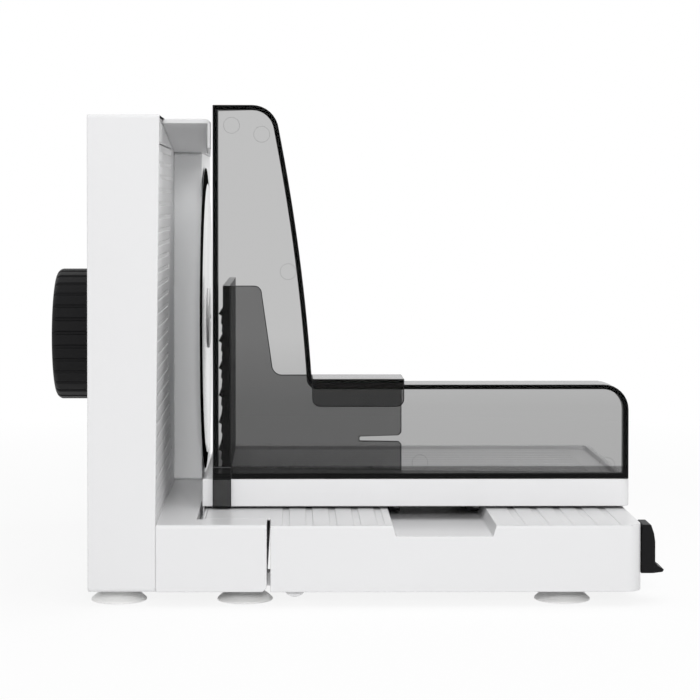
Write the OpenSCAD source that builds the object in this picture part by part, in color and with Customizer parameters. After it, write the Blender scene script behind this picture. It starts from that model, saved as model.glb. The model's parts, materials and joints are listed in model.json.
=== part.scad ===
// Food slicer with a round blade, a sliding carriage and an adjustable stop plate.
// X runs across the machine, from the setting knob to the end of the table.
// Y runs along the carriage travel, away from the person who slices.
// Z is up, with the feet standing on Z = 0.

/* [Body] */
// Depth of the machine along the carriage travel
body_d = 283; // [278:1:300]
// Height of the underside above the surface, which is the height of the feet
foot_h = 7; // [6:0.5:10]
// Wall of the moulded shells
wall = 2.5; // [2:0.1:3]
// Small rounding of the shells' outer edges
edge_r = 2; // [1:0.1:3]

/* [Column] */
// Thickness of the column that holds the drive and the stop plate
column_w = 32.3; // [31.5:0.1:36]
// How much further the column's front edge stands out at the top than at the base
frame_lean = 2.2; // [0:0.1:3]
// Height of the column
column_h = 227.5; // [226:0.5:240]
// Thickness of the side panel that closes the column
panel_t = 2.5; // [2:0.1:3]

/* [Gear housing] */
// How far the gear housing stands out of the column
housing_w = 15.5; // [15:0.1:16]
// How far the housing reaches in front of the blade's centre
housing_reach = 31; // [29:0.5:33]
// Height of the housing above the base
housing_h = 181; // [176:1:186]

/* [Hood] */
// Width of the hood over the blade
hood_w = 24.5; // [22:0.1:24.6]
// Distance from the front to the hood's front edge
hood_y = 56; // [40:1:80]
// Thickness of the hood's top
hood_t = 2.3; // [2:0.1:4]
// How far the hood's lip hangs down beside the blade
hood_lip = 12.5; // [6:0.5:13]
// Thickness of that lip
hood_side = 1.8; // [1.4:0.1:2.4]
// Rounding of the hood's outer corner
hood_r = 3.5; // [1:0.1:5]

/* [Blade] */
// Radius of the blade
blade_r = 85; // [84:0.5:85.5]
// Thickness of the blade
blade_t = 1.2; // [0.8:0.1:1.6]
// Width of the ground bevel
bevel_w = 9; // [5:0.5:14]
// Thickness left at the cutting edge
edge_t = 0.2; // [0.1:0.05:0.4]
// Running gap between the blade and the gear housing
blade_gap = 0.8; // [0.5:0.1:1]
// Distance of the blade's centre from the back
blade_back = 88; // [87.5:0.1:88.5]
// Height of the blade's centre
blade_z = 127; // [126:0.5:128]
// Radius of the blade's shaft
shaft_r = 5; // [4:0.1:6]
// Radius of the lock in the blade's centre
lock_r = 17; // [14:0.5:20]
// Thickness of the lock
lock_t = 4; // [3:0.1:5]

/* [Gears] */
// Teeth of the blade's gear
blade_teeth = 60; // [56:1:60]
// Teeth of both small pinions
pinion_teeth = 12; // [12:1:14]
// Teeth of the motor stage's large gear
idler_teeth = 48; // [44:1:50]
// Tooth module of the blade's stage
slow_module = 1.5; // [1.4:0.05:1.5]
// Tooth module of the motor's stage
fast_module = 1; // [0.9:0.05:1]
// Width of the blade's gear
slow_w = 7; // [6:0.5:7]
// Width of the motor stage's large gear
fast_w = 6; // [5:0.5:6]
// Radius of the idler's axle
axle_r = 3; // [2.5:0.1:3.5]
// Running clearance of shafts in their bores
run_gap = 0.05; // [0.02:0.01:0.1]

/* [Motor] */
// Gap between the motor and the idler's pinion
motor_gap = 0.6; // [0.5:0.1:2]
// Length of the motor
motor_len = 23; // [18:0.5:24]
// Radius of the motor's shaft
motor_shaft_r = 2.5; // [2:0.1:3]
// Length of the motor's screws in their posts
motor_screw_len = 8; // [6:0.5:10]
// Thickness of the motor's bracket
bracket_t = 2; // [1.5:0.1:2.5]

/* [Stop plate] */
// Travel of the stop plate, which is the thickest slice
plate_travel = 16; // [12:0.5:16]
// Turn of the knob over that travel
knob_turn = 300; // [240:10:330]
// Height of the stop plate's lower edge above the base
plate_rise = 1.2; // [1:0.1:3]
// Height of the stop plate
plate_h = 181; // [170:1:182]
// Distance of the plate's far corners in front of the blade's centre
plate_reach = 48; // [45:1:55]
// Gap between the stop plate and the blade's edge
plate_blade_gap = 2.5; // [2:0.1:4]
// Gap round the stop plate in its frame
plate_gap = 0.6; // [0.4:0.1:1]
// Thickness of the plate's wall
plate_t = 2; // [1.6:0.1:2.6]
// Height of the ribs on the plate's face
rib_h = 0.7; // [0.6:0.1:1.4]
// Distance between the ribs
rib_pitch = 6.6; // [6:0.1:8]
// Width of one rib
rib_w = 4.6; // [3.5:0.1:5.4]
// Depth of the skirt behind the plate
skirt_d = 20; // [17:0.5:22]
// Radius of the guide rods
rod_r = 4; // [3:0.1:5]
// Distance of each guide rod from the knob's axis
rod_rise = 53; // [45:1:60]
// Corner radius of the square spindle
spindle_r = 5; // [4.6:0.1:5.4]
// Clearance of the spindle in its nut
spindle_gap = 0.5; // [0.45:0.05:0.6]

/* [Knob] */
// Radius over the knob's ribs
knob_r = 32.5; // [28:0.5:35]
// How far the knob stands out of the column
knob_len = 20.6; // [19:0.1:24]
// Number of grip ribs
knob_ribs = 30; // [24:2:40]
// Depth of the grooves between the ribs
knob_groove = 1; // [0.6:0.1:1.6]
// Rounding of the knob's rim
knob_rim = 3.5; // [2:0.5:6]
// Depth of the knob's face in front of the nut
knob_face = 8; // [6:0.5:9]
// Gap between the knob and the column
knob_gap = 0.4; // [0.3:0.1:0.8]
// Distance of the knob from the front
knob_y = 55; // [50:1:62]
// Outer radius of the nut that the knob turns
nut_r = 11; // [10:0.1:12]
// How far the nut reaches into the column
nut_reach = 16; // [12:0.5:20]

/* [Buttons] */
// Width of one button
button_w = 16; // [12:1:20]
// Height of one button
button_h = 22; // [16:1:26]
// How far a button stands out at rest
button_out = 3; // [2.5:0.1:4]
// Travel of a button
button_travel = 2.2; // [1.5:0.1:2.4]
// Gap round a button
button_gap = 0.4; // [0.3:0.1:0.6]
// Width of the rim round the buttons
bezel_w = 3; // [2:0.5:5]
// Distance of the buttons from the back
button_back = 119; // [115:1:125]
// Height of the lower button's centre above the blade's centre
button_rise = 56; // [54:1:60]

/* [Base] */
// Height of the base and the table
base_h = 32; // [31:0.5:36]
// Width of the fixed base beside the column
base_w = 53; // [50:0.5:58]
// Gap between the base and the folding table
fold_gap = 1.7; // [1.2:0.1:2.5]
// Width of the folding table
table_w = 177.6; // [172:0.1:190]
// Thickness of the table's lip that lies over the base
lip_t = 1.2; // [1:0.1:1.3]
// Distance of that lip from the front and the back
lip_y = 22; // [20:0.5:26]
// Gap round the lip
lip_gap = 0.1; // [0.05:0.05:0.2]
// Corner radius of the table seen from above
table_r = 7.6; // [5:0.1:10]
// Width of the slot that guides the carriage
slot_w = 2.7; // [2.4:0.1:3.2]
// Depth of that slot
slot_d = 6; // [5:0.1:7]
// Distance from the front to the slot's start
slot_y = 19; // [15:1:24]
// Distance between the table's grooves
groove_pitch = 11.4; // [10:0.1:12]
// Width of a groove
groove_w = 3.2; // [2:0.1:4]
// Depth of a groove
groove_d = 0.8; // [0.6:0.1:1.2]
// Number of grooves on each side of the channel
groove_count = 5; // [3:1:5]
// Distance from the table's left edge to the channel
channel_x = 58.4; // [58:0.1:64]
// Width of the channel
channel_w = 49.4; // [46:0.1:56]
// Depth of the channel
channel_d = 5.5; // [4.5:0.1:6.5]
// Slope of the channel's side walls
channel_slope = 1.6; // [1:0.1:2]

/* [Fold hinge] */
// Radius of the hinge's knuckles
knuckle_r = 5.7; // [5:0.1:6.2]
// Distance of the hinge's axis from the table's left edge
knuckle_x = 11.6; // [10:0.1:14]
// Width of one knuckle
knuckle_w = 10; // [8:0.5:14]
// Radius of the hinge's pin
hinge_pin_r = 2.5; // [2:0.1:3]

/* [Feet] */
// Radius of a suction foot
foot_r = 13.5; // [11:0.5:14]
// Radius of the foot's neck
foot_neck_r = 7.5; // [6:0.5:9]
// Distance of the feet from the front and the back
foot_y = 20; // [17:1:30]
// Distance of the table's feet from its end
foot_inset = 36; // [30:1:48]
// Distance of the base's screws from the feet
screw_inset = 22; // [18:1:26]
// Height of those screws above the underside
screw_rise = 12; // [11:0.5:14]

/* [Latch] */
// Width of the fold latch along the table's edge
latch_w = 17; // [14:0.5:24]
// Distance of the latch from the front
latch_y = 8; // [7.5:0.5:12]
// Height of the latch
latch_h = 23.4; // [20:0.1:26]
// Drop from the table's top to the latch's top
latch_drop = 1.2; // [0.5:0.1:3]
// Thickness of the latch
latch_t = 7.4; // [6:0.1:9]
// How far the latch's toe stands out further
latch_toe = 4.3; // [3:0.1:6]
// Radius of the latch's boss round its pin
latch_boss_r = 2.6; // [2.4:0.1:3]
// How much narrower the boss is than the latch, on each side
latch_side = 2.5; // [2:0.1:4]
// Radius of the latch's pin
latch_pin_r = 1.5; // [1:0.1:1.6]
// Gap round the latch in the table
latch_gap = 0.6; // [0.4:0.1:1]

/* [Carriage] */
// Distance from the front to the carriage's front face
carriage_y = 53; // [50:1:60]
// Depth of the tray
tray_d = 146; // [130:1:155]
// Gap between the blade's face and the tray
tray_gap = 2.7; // [2:0.1:4]
// How far the tray reaches past the table's end
tray_over = 2.2; // [0:0.1:4]
// Height of the tray with its rim
tray_h = 13.8; // [12:0.1:16]
// Gap between the tray and the table
ride_gap = 1.2; // [0.8:0.1:1.6]
// Height of the rim above the tray's floor
tray_rim = 2.5; // [1.5:0.1:4]
// Distance between the ridges of the tray's floor
ridge_pitch = 8; // [6:0.5:12]
// Height of those ridges
ridge_h = 0.8; // [0.4:0.1:1]
// Corner radius of the tray seen from above
tray_r = 4; // [3.5:0.5:12]
// Width of a runner
runner_w = 5.6; // [4:0.1:8]
// Gap between a runner and the channel
runner_gap = 0.3; // [0.25:0.05:0.5]

/* [Carriage wall] */
// Thickness of the clear plastic
clear_t = 2.4; // [2:0.1:3]
// Height of the tall part above the tray
wall_h = 187.3; // [180:0.1:195]
// Height of the low part above the tray
low_h = 47.3; // [40:0.1:55]
// Distance from the blade's face to the wall
wall_gap = 7.9; // [7.5:0.1:9]
// Distance of the wall's right edge from the tray's end
wall_inset = 0.6; // [0:0.1:3]
// Thickness of the wall's bar along the tray
wall_foot_t = 2.3; // [1.8:0.1:3]
// Width of the tall part's straight top
top_w = 19.7; // [14:0.1:22]
// Radius of the tall part's corner
top_r = 13.5; // [8:0.1:16]
// Slope of the tall part's right edge, in degrees
lean = 6.56; // [3:0.01:9]
// Radius where the slope meets the low part
inner_r = 3; // [2:0.1:5]
// Radius of the low part's corner
low_r = 12.5; // [8:0.1:16]
// Depth of the flange along the wall's edges
flange_d = 23; // [18:1:26]
// Thickness of that flange
flange_t = 2.2; // [1.8:0.1:3]
// Width of the leg in front of the tray
leg_w = 9.2; // [7:0.1:12]

/* [Pusher] */
// Length of the pusher along the wall
pusher_len = 91.5; // [84:0.5:100]
// Height of the pusher's low part
pusher_low = 51.4; // [49:0.1:56]
// Height of the pusher's tall part
pusher_h = 97; // [80:0.5:110]
// Width of the tall part's top
pusher_top_w = 18; // [12:0.1:22]
// Gap between the pusher and the wall's flange
pusher_gap = 0.6; // [0.4:0.1:1]
// Gap between the pusher and the tray's ridges
pusher_lift = 0.7; // [0.4:0.1:1.2]
// Thickness of the rib along the pusher's lower edge
pusher_foot_t = 2; // [1.6:0.1:2.6]
// Depth of that rib
pusher_foot_d = 12; // [8:0.5:16]
// Length of the notch in the pusher's far end
notch_len = 21.5; // [16:0.5:26]
// Height of the notch
notch_h = 3; // [2:0.1:4]
// Height of the notch above the pusher's lower edge
notch_rise = 17.3; // [14:0.1:20]
// Width of the grip that hooks over the wall
grip_w = 46; // [36:0.5:60]
// Height of the grip in front of the wall
grip_h = 14; // [10:0.5:18]
// Depth of the press plate
press_d = 118; // [100:1:119]
// Thickness of the press plate
press_t = 3.6; // [2.5:0.1:5]
// Height of the teeth on the press plate
tooth_h = 2.2; // [1.5:0.1:3]
// Distance between the teeth
tooth_pitch = 13.9; // [10:0.1:18]

/* [Hidden] */
$fn = 64;

// Heights and main planes
base_z = foot_h;
base_top = base_z + base_h;
column_top = base_z + column_h;
housing_x1 = column_w + housing_w;
blade_y = body_d - blade_back;
housing_y = blade_y - housing_reach;
plate_far = blade_y - plate_reach;
button_y = body_d - button_back;
button_z = blade_z + button_rise;
housing_top = base_top + housing_h;
hood_x1 = column_w + hood_w;
hood_back_x = housing_x1 + 0.4;
hood_under = column_top - hood_t;
panel_x0 = column_w - panel_t;
blade_x = housing_x1 + blade_gap;
blade_x1 = blade_x + blade_t;

// Base and table
base_x1 = column_w + base_w;
table_x = base_x1 + fold_gap;
table_x1 = table_x + table_w;
skin_z = base_top - wall;
channel_x0 = table_x + channel_x;
channel_x1 = channel_x0 + channel_w;
channel_z = base_top - channel_d;
slot_x = blade_x1 + tray_gap - 1.3;
knuckle_cx = table_x + knuckle_x;
knuckle_z = foot_h + knuckle_r - 3;
column_foot_x = foot_r;
base_foot_x = base_x1 - foot_r + 2.8;
table_foot_x = table_x1 - foot_inset;
lip_x = slot_x + slot_w + 1.5;

// Gear train, all on axes along X
slow_r = slow_module * blade_teeth / 2;
slow_pinion_r = slow_module * pinion_teeth / 2;
fast_r = fast_module * idler_teeth / 2;
fast_pinion_r = fast_module * pinion_teeth / 2;
slow_dir = 60;
fast_dir = 20;
idler_y = blade_y + (slow_r + slow_pinion_r) * cos(slow_dir);
idler_z = blade_z + (slow_r + slow_pinion_r) * sin(slow_dir);
motor_y = idler_y + (fast_r + fast_pinion_r) * cos(fast_dir);
motor_z = idler_z + (fast_r + fast_pinion_r) * sin(fast_dir);
gear_x = panel_x0 - 2.3 - slow_w;
fast_x = gear_x - 3.5 - fast_w;
bracket_x = fast_x + fast_w + 1.5;
motor_x = bracket_x + bracket_t;
motor_r = fast_r + fast_pinion_r - slow_pinion_r - slow_module - motor_gap;
web_ring_r = slow_r * 0.6;
web_hole_r = slow_r * 0.18;
post_reach = motor_r + 2;
flange_r = 15;
bush_r = 8;
hub_x0 = housing_x1 - wall - 8;
hub_x1 = housing_x1 - 4;

// Stop plate and knob
knob_z = blade_z;
plate_y0 = wall + plate_gap;
plate_z0 = base_top + plate_rise;
plate_z1 = plate_z0 + plate_h;
plate_x = column_w - rib_h - plate_t;
plate_arc_r = blade_r + plate_blade_gap;
lead_deg = knob_turn / plate_travel;
sleeve_x1 = plate_x - 1.3;
rod_x0 = wall + 2;
nut_x0 = -(knob_len - knob_face);
nut_x1 = nut_reach;
spindle_x0 = nut_x0 + 2.5;
nut_flange_x = wall + 0.5;

// Buttons
button_pitch = button_h + 4;
button_deep = button_travel + 3.8;
switch_x = wall + button_deep + 4;

// Latch
latch_top = base_top - latch_drop;
latch_pin_x = table_x1 - 5.6;
latch_pin_z = base_top - 6;
latch_boss_y0 = latch_y + latch_side;
latch_boss_y1 = latch_y + latch_w - latch_side;

// Carriage
tray_x = blade_x1 + tray_gap;
tray_x1 = table_x1 + tray_over;
tray_y1 = carriage_y + tray_d;
tray_z = base_top + ride_gap;
tray_top = tray_z + tray_h;
tray_floor = tray_top - tray_rim;
tray_under = tray_floor - 2;
wall_x = blade_x1 + wall_gap;
wall_x1 = tray_x1 - wall_inset;
wall_top = tray_top + wall_h;
low_top = tray_top + low_h;
top_cx = wall_x + top_w;
top_cz = wall_top - top_r;
flange_y1 = carriage_y + flange_d;

// Pusher, at its stop against the tall part of the wall
pusher_y = flange_y1 + pusher_gap;
pusher_z = tray_floor + ridge_h + pusher_lift;
press_x = wall_x + 4.3;
pusher_x1 = press_x + pusher_len;
pusher_low_z = pusher_z + pusher_low;
pusher_top_z = pusher_z + pusher_h;

// Middle of the whole outline, which becomes the origin
latch_x1 = table_x1 + latch_t + latch_toe;
mid_x = (latch_x1 - knob_len) / 2;
mid_y = body_d / 2;

white = [0.92, 0.92, 0.92];
grey = [0.62, 0.63, 0.64];
black = [0.09, 0.09, 0.10];
steel = [0.78, 0.79, 0.80];
smoke = [0.25, 0.25, 0.26, 0.6];

// Points on an arc in steps of about ten degrees
function arc(cx, cy, r, a0, a1) =
  let (n = max(2, round(abs(a1 - a0) / 11)))
  [for (i = [0:n]) [cx + r * cos(a0 + (a1 - a0) * i / n), cy + r * sin(a0 + (a1 - a0) * i / n)]];

// Rectangle with its four corners rounded
function round_rect(x0, y0, x1, y1, r) = concat(
  arc(x1 - r, y1 - r, r, 0, 90), arc(x0 + r, y1 - r, r, 90, 180),
  arc(x0 + r, y0 + r, r, 180, 270), arc(x1 - r, y0 + r, r, 270, 360));

// Rectangle with only the two corners at its high end rounded
function d_shape(x0, y0, x1, y1, r) = concat(
  [[x0, y0]], arc(x1 - r, y0 + r, r, 270, 360), arc(x1 - r, y1 - r, r, 0, 90), [[x0, y1]]);

// Angle between a radius and the involute of a 20 degree tooth, in degrees
function involute(rb, r) = let (a = acos(min(1, rb / r))) tan(a) * 180 / PI - a;

// Half of a tooth's angle at radius r
function half_tooth(teeth, pitch_r, r) =
  let (rb = pitch_r * cos(20))
  90 / teeth - 0.05 * 180 / PI / pitch_r + involute(rb, pitch_r) - involute(rb, max(r, rb));

// Outline of a spur gear with one tooth centred on the first axis
function gear_outline(teeth, tooth_module) =
  let (
    pitch_r = tooth_module * teeth / 2,
    root_r = pitch_r - 1.25 * tooth_module,
    flank_r = max(root_r + 0.1, pitch_r * cos(20)),
    tip_r = pitch_r + tooth_module,
    radii = [root_r, flank_r, (flank_r + pitch_r) / 2, pitch_r, (pitch_r + tip_r) / 2, tip_r]
  )
  [for (k = [0:teeth - 1]) for (side = [-1, 1])
    for (i = side < 0 ? [0:1:5] : [5:-1:0])
      let (a = 360 * k / teeth + side * half_tooth(teeth, pitch_r, radii[i]))
      [radii[i] * cos(a), radii[i] * sin(a)]];

// Everything is drawn from the column's front lower left corner and moved to the origin here
module place() {
  translate([-mid_x, -mid_y, 0])
    children();
}

// A flat outline in Y and Z, drawn out along X
module along_x(x0, x1) {
  translate([x0, 0, 0])
    rotate([90, 0, 90])
      linear_extrude(x1 - x0)
        children();
}

// A flat outline in X and Z, drawn out along Y
module along_y(y0, y1) {
  translate([0, y1, 0])
    rotate([90, 0, 0])
      linear_extrude(y1 - y0)
        children();
}

// A flat outline in X and Y, drawn out along Z
module along_z(z0, z1) {
  translate([0, 0, z0])
    linear_extrude(z1 - z0)
      children();
}

module block(x0, x1, y0, y1, z0, z1) {
  translate([x0, y0, z0])
    cube([x1 - x0, y1 - y0, z1 - z0]);
}

module rod_x(y, z, r, x0, x1) {
  translate([x0, y, z])
    rotate([0, 90, 0])
      cylinder(r = r, h = x1 - x0);
}

module rod_y(x, z, r, y0, y1) {
  translate([x, y0, z])
    rotate([-90, 0, 0])
      cylinder(r = r, h = y1 - y0);
}

module rod_z(x, y, r, z0, z1) {
  translate([x, y, z0])
    cylinder(r = r, h = z1 - z0);
}

// Column, open on its right side

module button_places() {
  for (i = [0:1])
    translate([0, button_y, button_z + i * button_pitch])
      children();
}

motor_posts = [[1, 1], [1, -1], [-1, 1]];

module motor_post_places() {
  for (p = motor_posts)
    translate([0, motor_y + p[0] * post_reach, motor_z + p[1] * post_reach])
      children();
}

module guide_places() {
  for (s = [-1, 1])
    translate([0, knob_y, knob_z + s * rod_rise])
      children();
}

screw_r = 1.6;

// Where the base is screwed to the column's side panel
module base_screw_places() {
  for (y = [foot_y + screw_inset, body_d - foot_y - screw_inset])
    translate([0, y, base_z + screw_rise])
      children();
}

module housing_shell() {
  color(white) place() difference() {
    union() {
      difference() {
        along_x(0, column_w)
          polygon(round_rect(0, base_z, body_d, column_top, edge_r));
        along_x(wall, column_w + 1)
          polygon(round_rect(wall, base_z + wall, body_d - wall, column_top - wall, 1));
      }
      // the front edge leans out towards the top
      intersection() {
        along_x(column_w - 1, column_w + frame_lean)
          polygon(round_rect(0, base_z, body_d, column_top, edge_r));
        along_y(0, wall)
          polygon([
            [column_w - 1, base_top], [column_w, base_top], [column_w + frame_lean, column_top],
            [column_w - 1, column_top]]);
      }
      rod_x(blade_y, blade_z, shaft_r + 5, wall - 0.5, wall + 8);
      rod_x(idler_y, idler_z, axle_r + 3, wall - 0.5, fast_x - 0.4);
      guide_places()
        rod_x(0, 0, rod_r + 2.5, wall - 0.5, sleeve_x1);
      motor_post_places()
        rod_x(0, 0, 4, wall - 0.5, bracket_x);
    }
    rod_x(blade_y, blade_z, shaft_r + 2, wall + 1, wall + 9);
    rod_x(idler_y, idler_z, axle_r + 0.02, wall + 0.5, fast_x);
    guide_places()
      rod_x(0, 0, rod_r + run_gap, rod_x0 - 1, sleeve_x1 + 1);
    motor_post_places()
      rod_x(0, 0, screw_r, bracket_x - motor_screw_len - 1, bracket_x + 1);
    rod_x(knob_y, knob_z, nut_r + run_gap + 0.03, -1, wall + 1);
    button_places()
      along_x(-1, wall + 1)
        polygon(round_rect(-button_w / 2 - button_gap, -button_h / 2 - button_gap,
          button_w / 2 + button_gap, button_h / 2 + button_gap, 3));
    rod_y(column_w / 2, base_z + 16, gland_r, body_d - wall - 1, body_d + 1);
  }
}

// Stop plate's outline; the inset moves every edge inwards

function far_angle(r, reach) = acos((blade_y - reach) / r);

function plate_outline(inset) =
  let (
    r = plate_arc_r + inset,
    far = plate_far - inset,
    a = far_angle(r, far)
  )
  concat(
    [[plate_y0 + inset, plate_z0 + inset], [far, plate_z0 + inset]],
    arc(blade_y, blade_z, r, 180 + a, 180 - a),
    [[far, plate_z1 - inset], [plate_y0 + inset, plate_z1 - inset]]);

module side_panel() {
  color(white) place() difference() {
    union() {
      along_x(panel_x0, column_w)
        polygon(round_rect(wall + 0.05, base_z + wall + 0.05,
          body_d - wall - 0.05, column_top - wall - 0.05, 1.2));
      base_screw_places()
        rod_x(0, 0, screw_r + 2.4, panel_x0 - 6, panel_x0 + 0.5);
    }
    base_screw_places()
      rod_x(0, 0, screw_r + run_gap, panel_x0 - 7, column_w + 1);
    along_x(panel_x0 - 1, column_w + 1)
      polygon(plate_outline(-plate_gap));
    along_x(panel_x0 - 1, column_w + 1)
      polygon(round_rect(housing_y + wall, base_top + wall,
        body_d - 2 * wall, housing_top - wall, 3));
  }
}

// Housing of the gear and the motor, beside the column

module gear_housing() {
  color([0.86, 0.86, 0.87]) place() difference() {
    union() {
      difference() {
        along_x(column_w, housing_x1)
          polygon(round_rect(housing_y, base_top, body_d, housing_top, edge_r));
        along_x(column_w - 1, housing_x1 - wall)
          polygon(round_rect(housing_y + wall, base_top + wall,
            body_d - wall, housing_top - wall, 2));
      }
      rod_x(blade_y, blade_z, flange_r + 5, hub_x0, housing_x1 - 0.5);
    }
    rod_x(blade_y, blade_z, bush_r + 0.02, hub_x0 - 1, housing_x1);
    rod_x(blade_y, blade_z, flange_r + 1, hub_x1, housing_x1 + 1);
  }
}

// Hood over the blade's top

// Where the hood's right side is at a distance from the front
function hood_side_x(y) = hood_x1 - (hood_x1 - hood_back_x) * (y - hood_y) / (body_d - hood_y);

module top_hood() {
  lip_z = hood_under - hood_lip;
  color([0.86, 0.86, 0.87]) place() difference() {
    intersection() {
      union() {
        block(column_w - 1, hood_x1 + 1, hood_y - 1, body_d + 1, hood_under, column_top + 1);
        block(column_w - 1, hood_x1 + 1, housing_y, body_d + 1, housing_top, column_top);
        // ramp from the hood's front down to the gear housing
        along_x(column_w - 1, hood_x1 + 1)
          polygon([
            [hood_y + hood_t, hood_under + 0.5], [hood_y + hood_t, hood_under],
            [housing_y, housing_top], [housing_y + 1, housing_top],
            [housing_y + 1, hood_under + 0.5]]);
        along_z(lip_z, column_top)
          polygon([
            [hood_x1 - hood_side, hood_y - 1], [hood_x1 + 1, hood_y - 1], [hood_x1 + 1, housing_y],
            [hood_side_x(housing_y) - hood_side, housing_y]]);
      }
      along_y(hood_y - 2, body_d + 2)
        polygon(concat(
          [[column_w, lip_z - 1], [column_w, column_top]],
          arc(hood_x1 - hood_r, column_top - hood_r, hood_r, 90, 0),
          [[hood_x1, lip_z - 1]]));
      along_z(lip_z - 1, column_top + 2)
        polygon([
          [column_w - 2, hood_y], [hood_x1, hood_y], [hood_back_x, body_d], [column_w - 2, body_d]]);
    }
    block(column_w + wall, housing_x1 - wall, housing_y + wall, body_d - wall,
      housing_top - 1, hood_under);
  }
}

// Fixed base beside the column

// Side profile of the base parts in Y and Z, with the top front and back edges rounded
function base_profile() = concat(
  [[0, base_z], [body_d, base_z]],
  arc(body_d - edge_r, base_top - edge_r, edge_r, 0, 90),
  arc(edge_r, base_top - edge_r, edge_r, 90, 180));

module foot_pillar(x, y) {
  rod_z(x, y, foot_neck_r + 1.5, base_z, skin_z + 0.5);
}

module hinge_arms() {
  for (m = [0, 1])
    translate([0, m * body_d, 0]) mirror([0, m, 0])
      difference() {
        union() {
          rod_y(knuckle_cx, knuckle_z, knuckle_r - 0.3, arm_y, arm_y + knuckle_w);
          block(base_x1 - wall, knuckle_cx, arm_y, arm_y + knuckle_w,
            base_z + 0.5, knuckle_z + knuckle_r - 1.5);
        }
        rod_y(knuckle_cx, knuckle_z, hinge_pin_r + run_gap, arm_y - 1, arm_y + knuckle_w + 1);
      }
}

knuckle_y = 4;
arm_y = knuckle_y + knuckle_w + 0.4;

module base_body() {
  color(white) place() difference() {
    union() {
      difference() {
        intersection() {
          along_x(column_w, base_x1)
            polygon(base_profile());
          along_y(-1, body_d + 1)
            polygon([
              [column_w, base_z], [base_x1 - 2, base_z], [base_x1, base_z + 2],
              [base_x1, base_top], [column_w, base_top]]);
        }
        block(column_w + wall, base_x1 - wall, wall, body_d - wall, base_z - 1, skin_z);
      }
      block(slot_x - wall, slot_x + slot_w + wall, wall - 0.5, body_d - wall + 0.5,
        base_top - slot_d - wall, skin_z + 0.5);
      for (y = [foot_y, body_d - foot_y])
        foot_pillar(base_foot_x, y);
      for (y = [body_d / 3, body_d * 2 / 3])
        block(column_w + 1, base_x1 - 1, y - 1, y + 1, base_z + 6, skin_z + 0.5);
      hinge_arms();
    }
    block(slot_x, slot_x + slot_w, slot_y, body_d + 1, base_top - slot_d, base_top + 1);
    // rebate for the table's lip
    block(lip_x - lip_gap, base_x1 + 1, lip_y - lip_gap, body_d - lip_y + lip_gap,
      base_top - lip_t - lip_gap, base_top + 1);
    base_screw_places()
      rod_x(0, 0, screw_r + 0.4, column_w - 1, column_w + wall + 1);
  }
}

// Folding table, open underneath

groove_left = channel_x0 - 5.4 - (groove_count - 1) * groove_pitch;
groove_right = channel_x1 + 12.4;
hollow_x0 = table_x + wall;
hollow_x1 = table_x1 - wall;

module table_grooves() {
  for (i = [0:groove_count - 1]) for (x = [groove_left, groove_right])
    block(x + i * groove_pitch - groove_w / 2, x + i * groove_pitch + groove_w / 2,
      -1, body_d + 1, base_top - groove_d, base_top + 1);
}

module table_hollow() {
  difference() {
    along_z(base_z - 1, skin_z)
      polygon(d_shape(hollow_x0, wall, hollow_x1, body_d - wall, table_r - wall));
    block(channel_x0 - wall, channel_x1 + wall, 0, body_d, channel_z - wall, base_top);
    block(hinge_x0, hinge_x1, wall, arm_y + knuckle_w + 2.6, base_z + hinge_clear, base_top);
    block(hinge_x0, hinge_x1, body_d - arm_y - knuckle_w - 2.6, body_d - wall,
      base_z + hinge_clear, base_top);
  }
}

hinge_x0 = table_x;
hinge_x1 = knuckle_cx + knuckle_r + 0.6;
hinge_clear = 2 * knuckle_r;

module latch_ribs() {
  for (y = [latch_boss_y0 - latch_gap - wall, latch_boss_y1 + 3.2])
    block(latch_pin_x - 4, table_x1 - 1, y, y + wall, latch_pin_z - 4, skin_z + 0.5);
}

module folding_table() {
  color(white) place() difference() {
    union() {
      difference() {
        intersection() {
          along_x(table_x, table_x1)
            polygon(base_profile());
          along_z(base_z - 1, base_top + 1)
            polygon(d_shape(table_x, 0, table_x1, body_d, table_r));
        }
        table_hollow();
      }
      for (m = [0, 1])
        translate([0, m * body_d, 0]) mirror([0, m, 0]) {
          rod_y(knuckle_cx, knuckle_z, knuckle_r, knuckle_y, knuckle_y + knuckle_w);
          block(knuckle_cx - knuckle_r, knuckle_cx + knuckle_r, knuckle_y,
            knuckle_y + knuckle_w, knuckle_z, base_z + hinge_clear + 0.5);
        }
      for (y = [foot_y, body_d - foot_y])
        foot_pillar(table_foot_x, y);
      for (y = [body_d / 3, body_d * 2 / 3])
        block(hollow_x0 - 1, hollow_x1 + 1, y - 1, y + 1, base_z + 6, channel_z - 1);
      latch_ribs();
      block(lip_x, table_x + 1, lip_y, body_d - lip_y, base_top - lip_t, base_top);
    }
    along_y(-1, body_d + 1)
      polygon([
        [channel_x0 + channel_slope, channel_z], [channel_x1 - channel_slope, channel_z],
        [channel_x1 + 0.3, base_top + 1], [channel_x0 - 0.3, base_top + 1]]);
    table_grooves();
    // room for the base's hinge arms
    for (m = [0, 1])
      translate([0, m * body_d, 0]) mirror([0, m, 0])
        block(table_x - 1, hinge_x1 + 1, arm_y - 0.4, arm_y + knuckle_w + 0.4,
          base_z - 4, base_z + hinge_clear - 1);
    for (m = [0, 1])
      translate([0, m * body_d, 0]) mirror([0, m, 0])
        rod_y(knuckle_cx, knuckle_z, hinge_pin_r + 0.02, knuckle_y + 1, arm_y + knuckle_w + 3);
    // window for the latch's boss in the right wall
    block(hollow_x1 - 0.5, table_x1 + 1, latch_boss_y0 - latch_gap, latch_boss_y1 + latch_gap,
      latch_pin_z - latch_boss_r - latch_gap, skin_z);
    rod_y(latch_pin_x, latch_pin_z, latch_pin_r + 0.02, latch_boss_y0 - latch_gap - 2,
      latch_boss_y1 + 5);
  }
}

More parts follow.
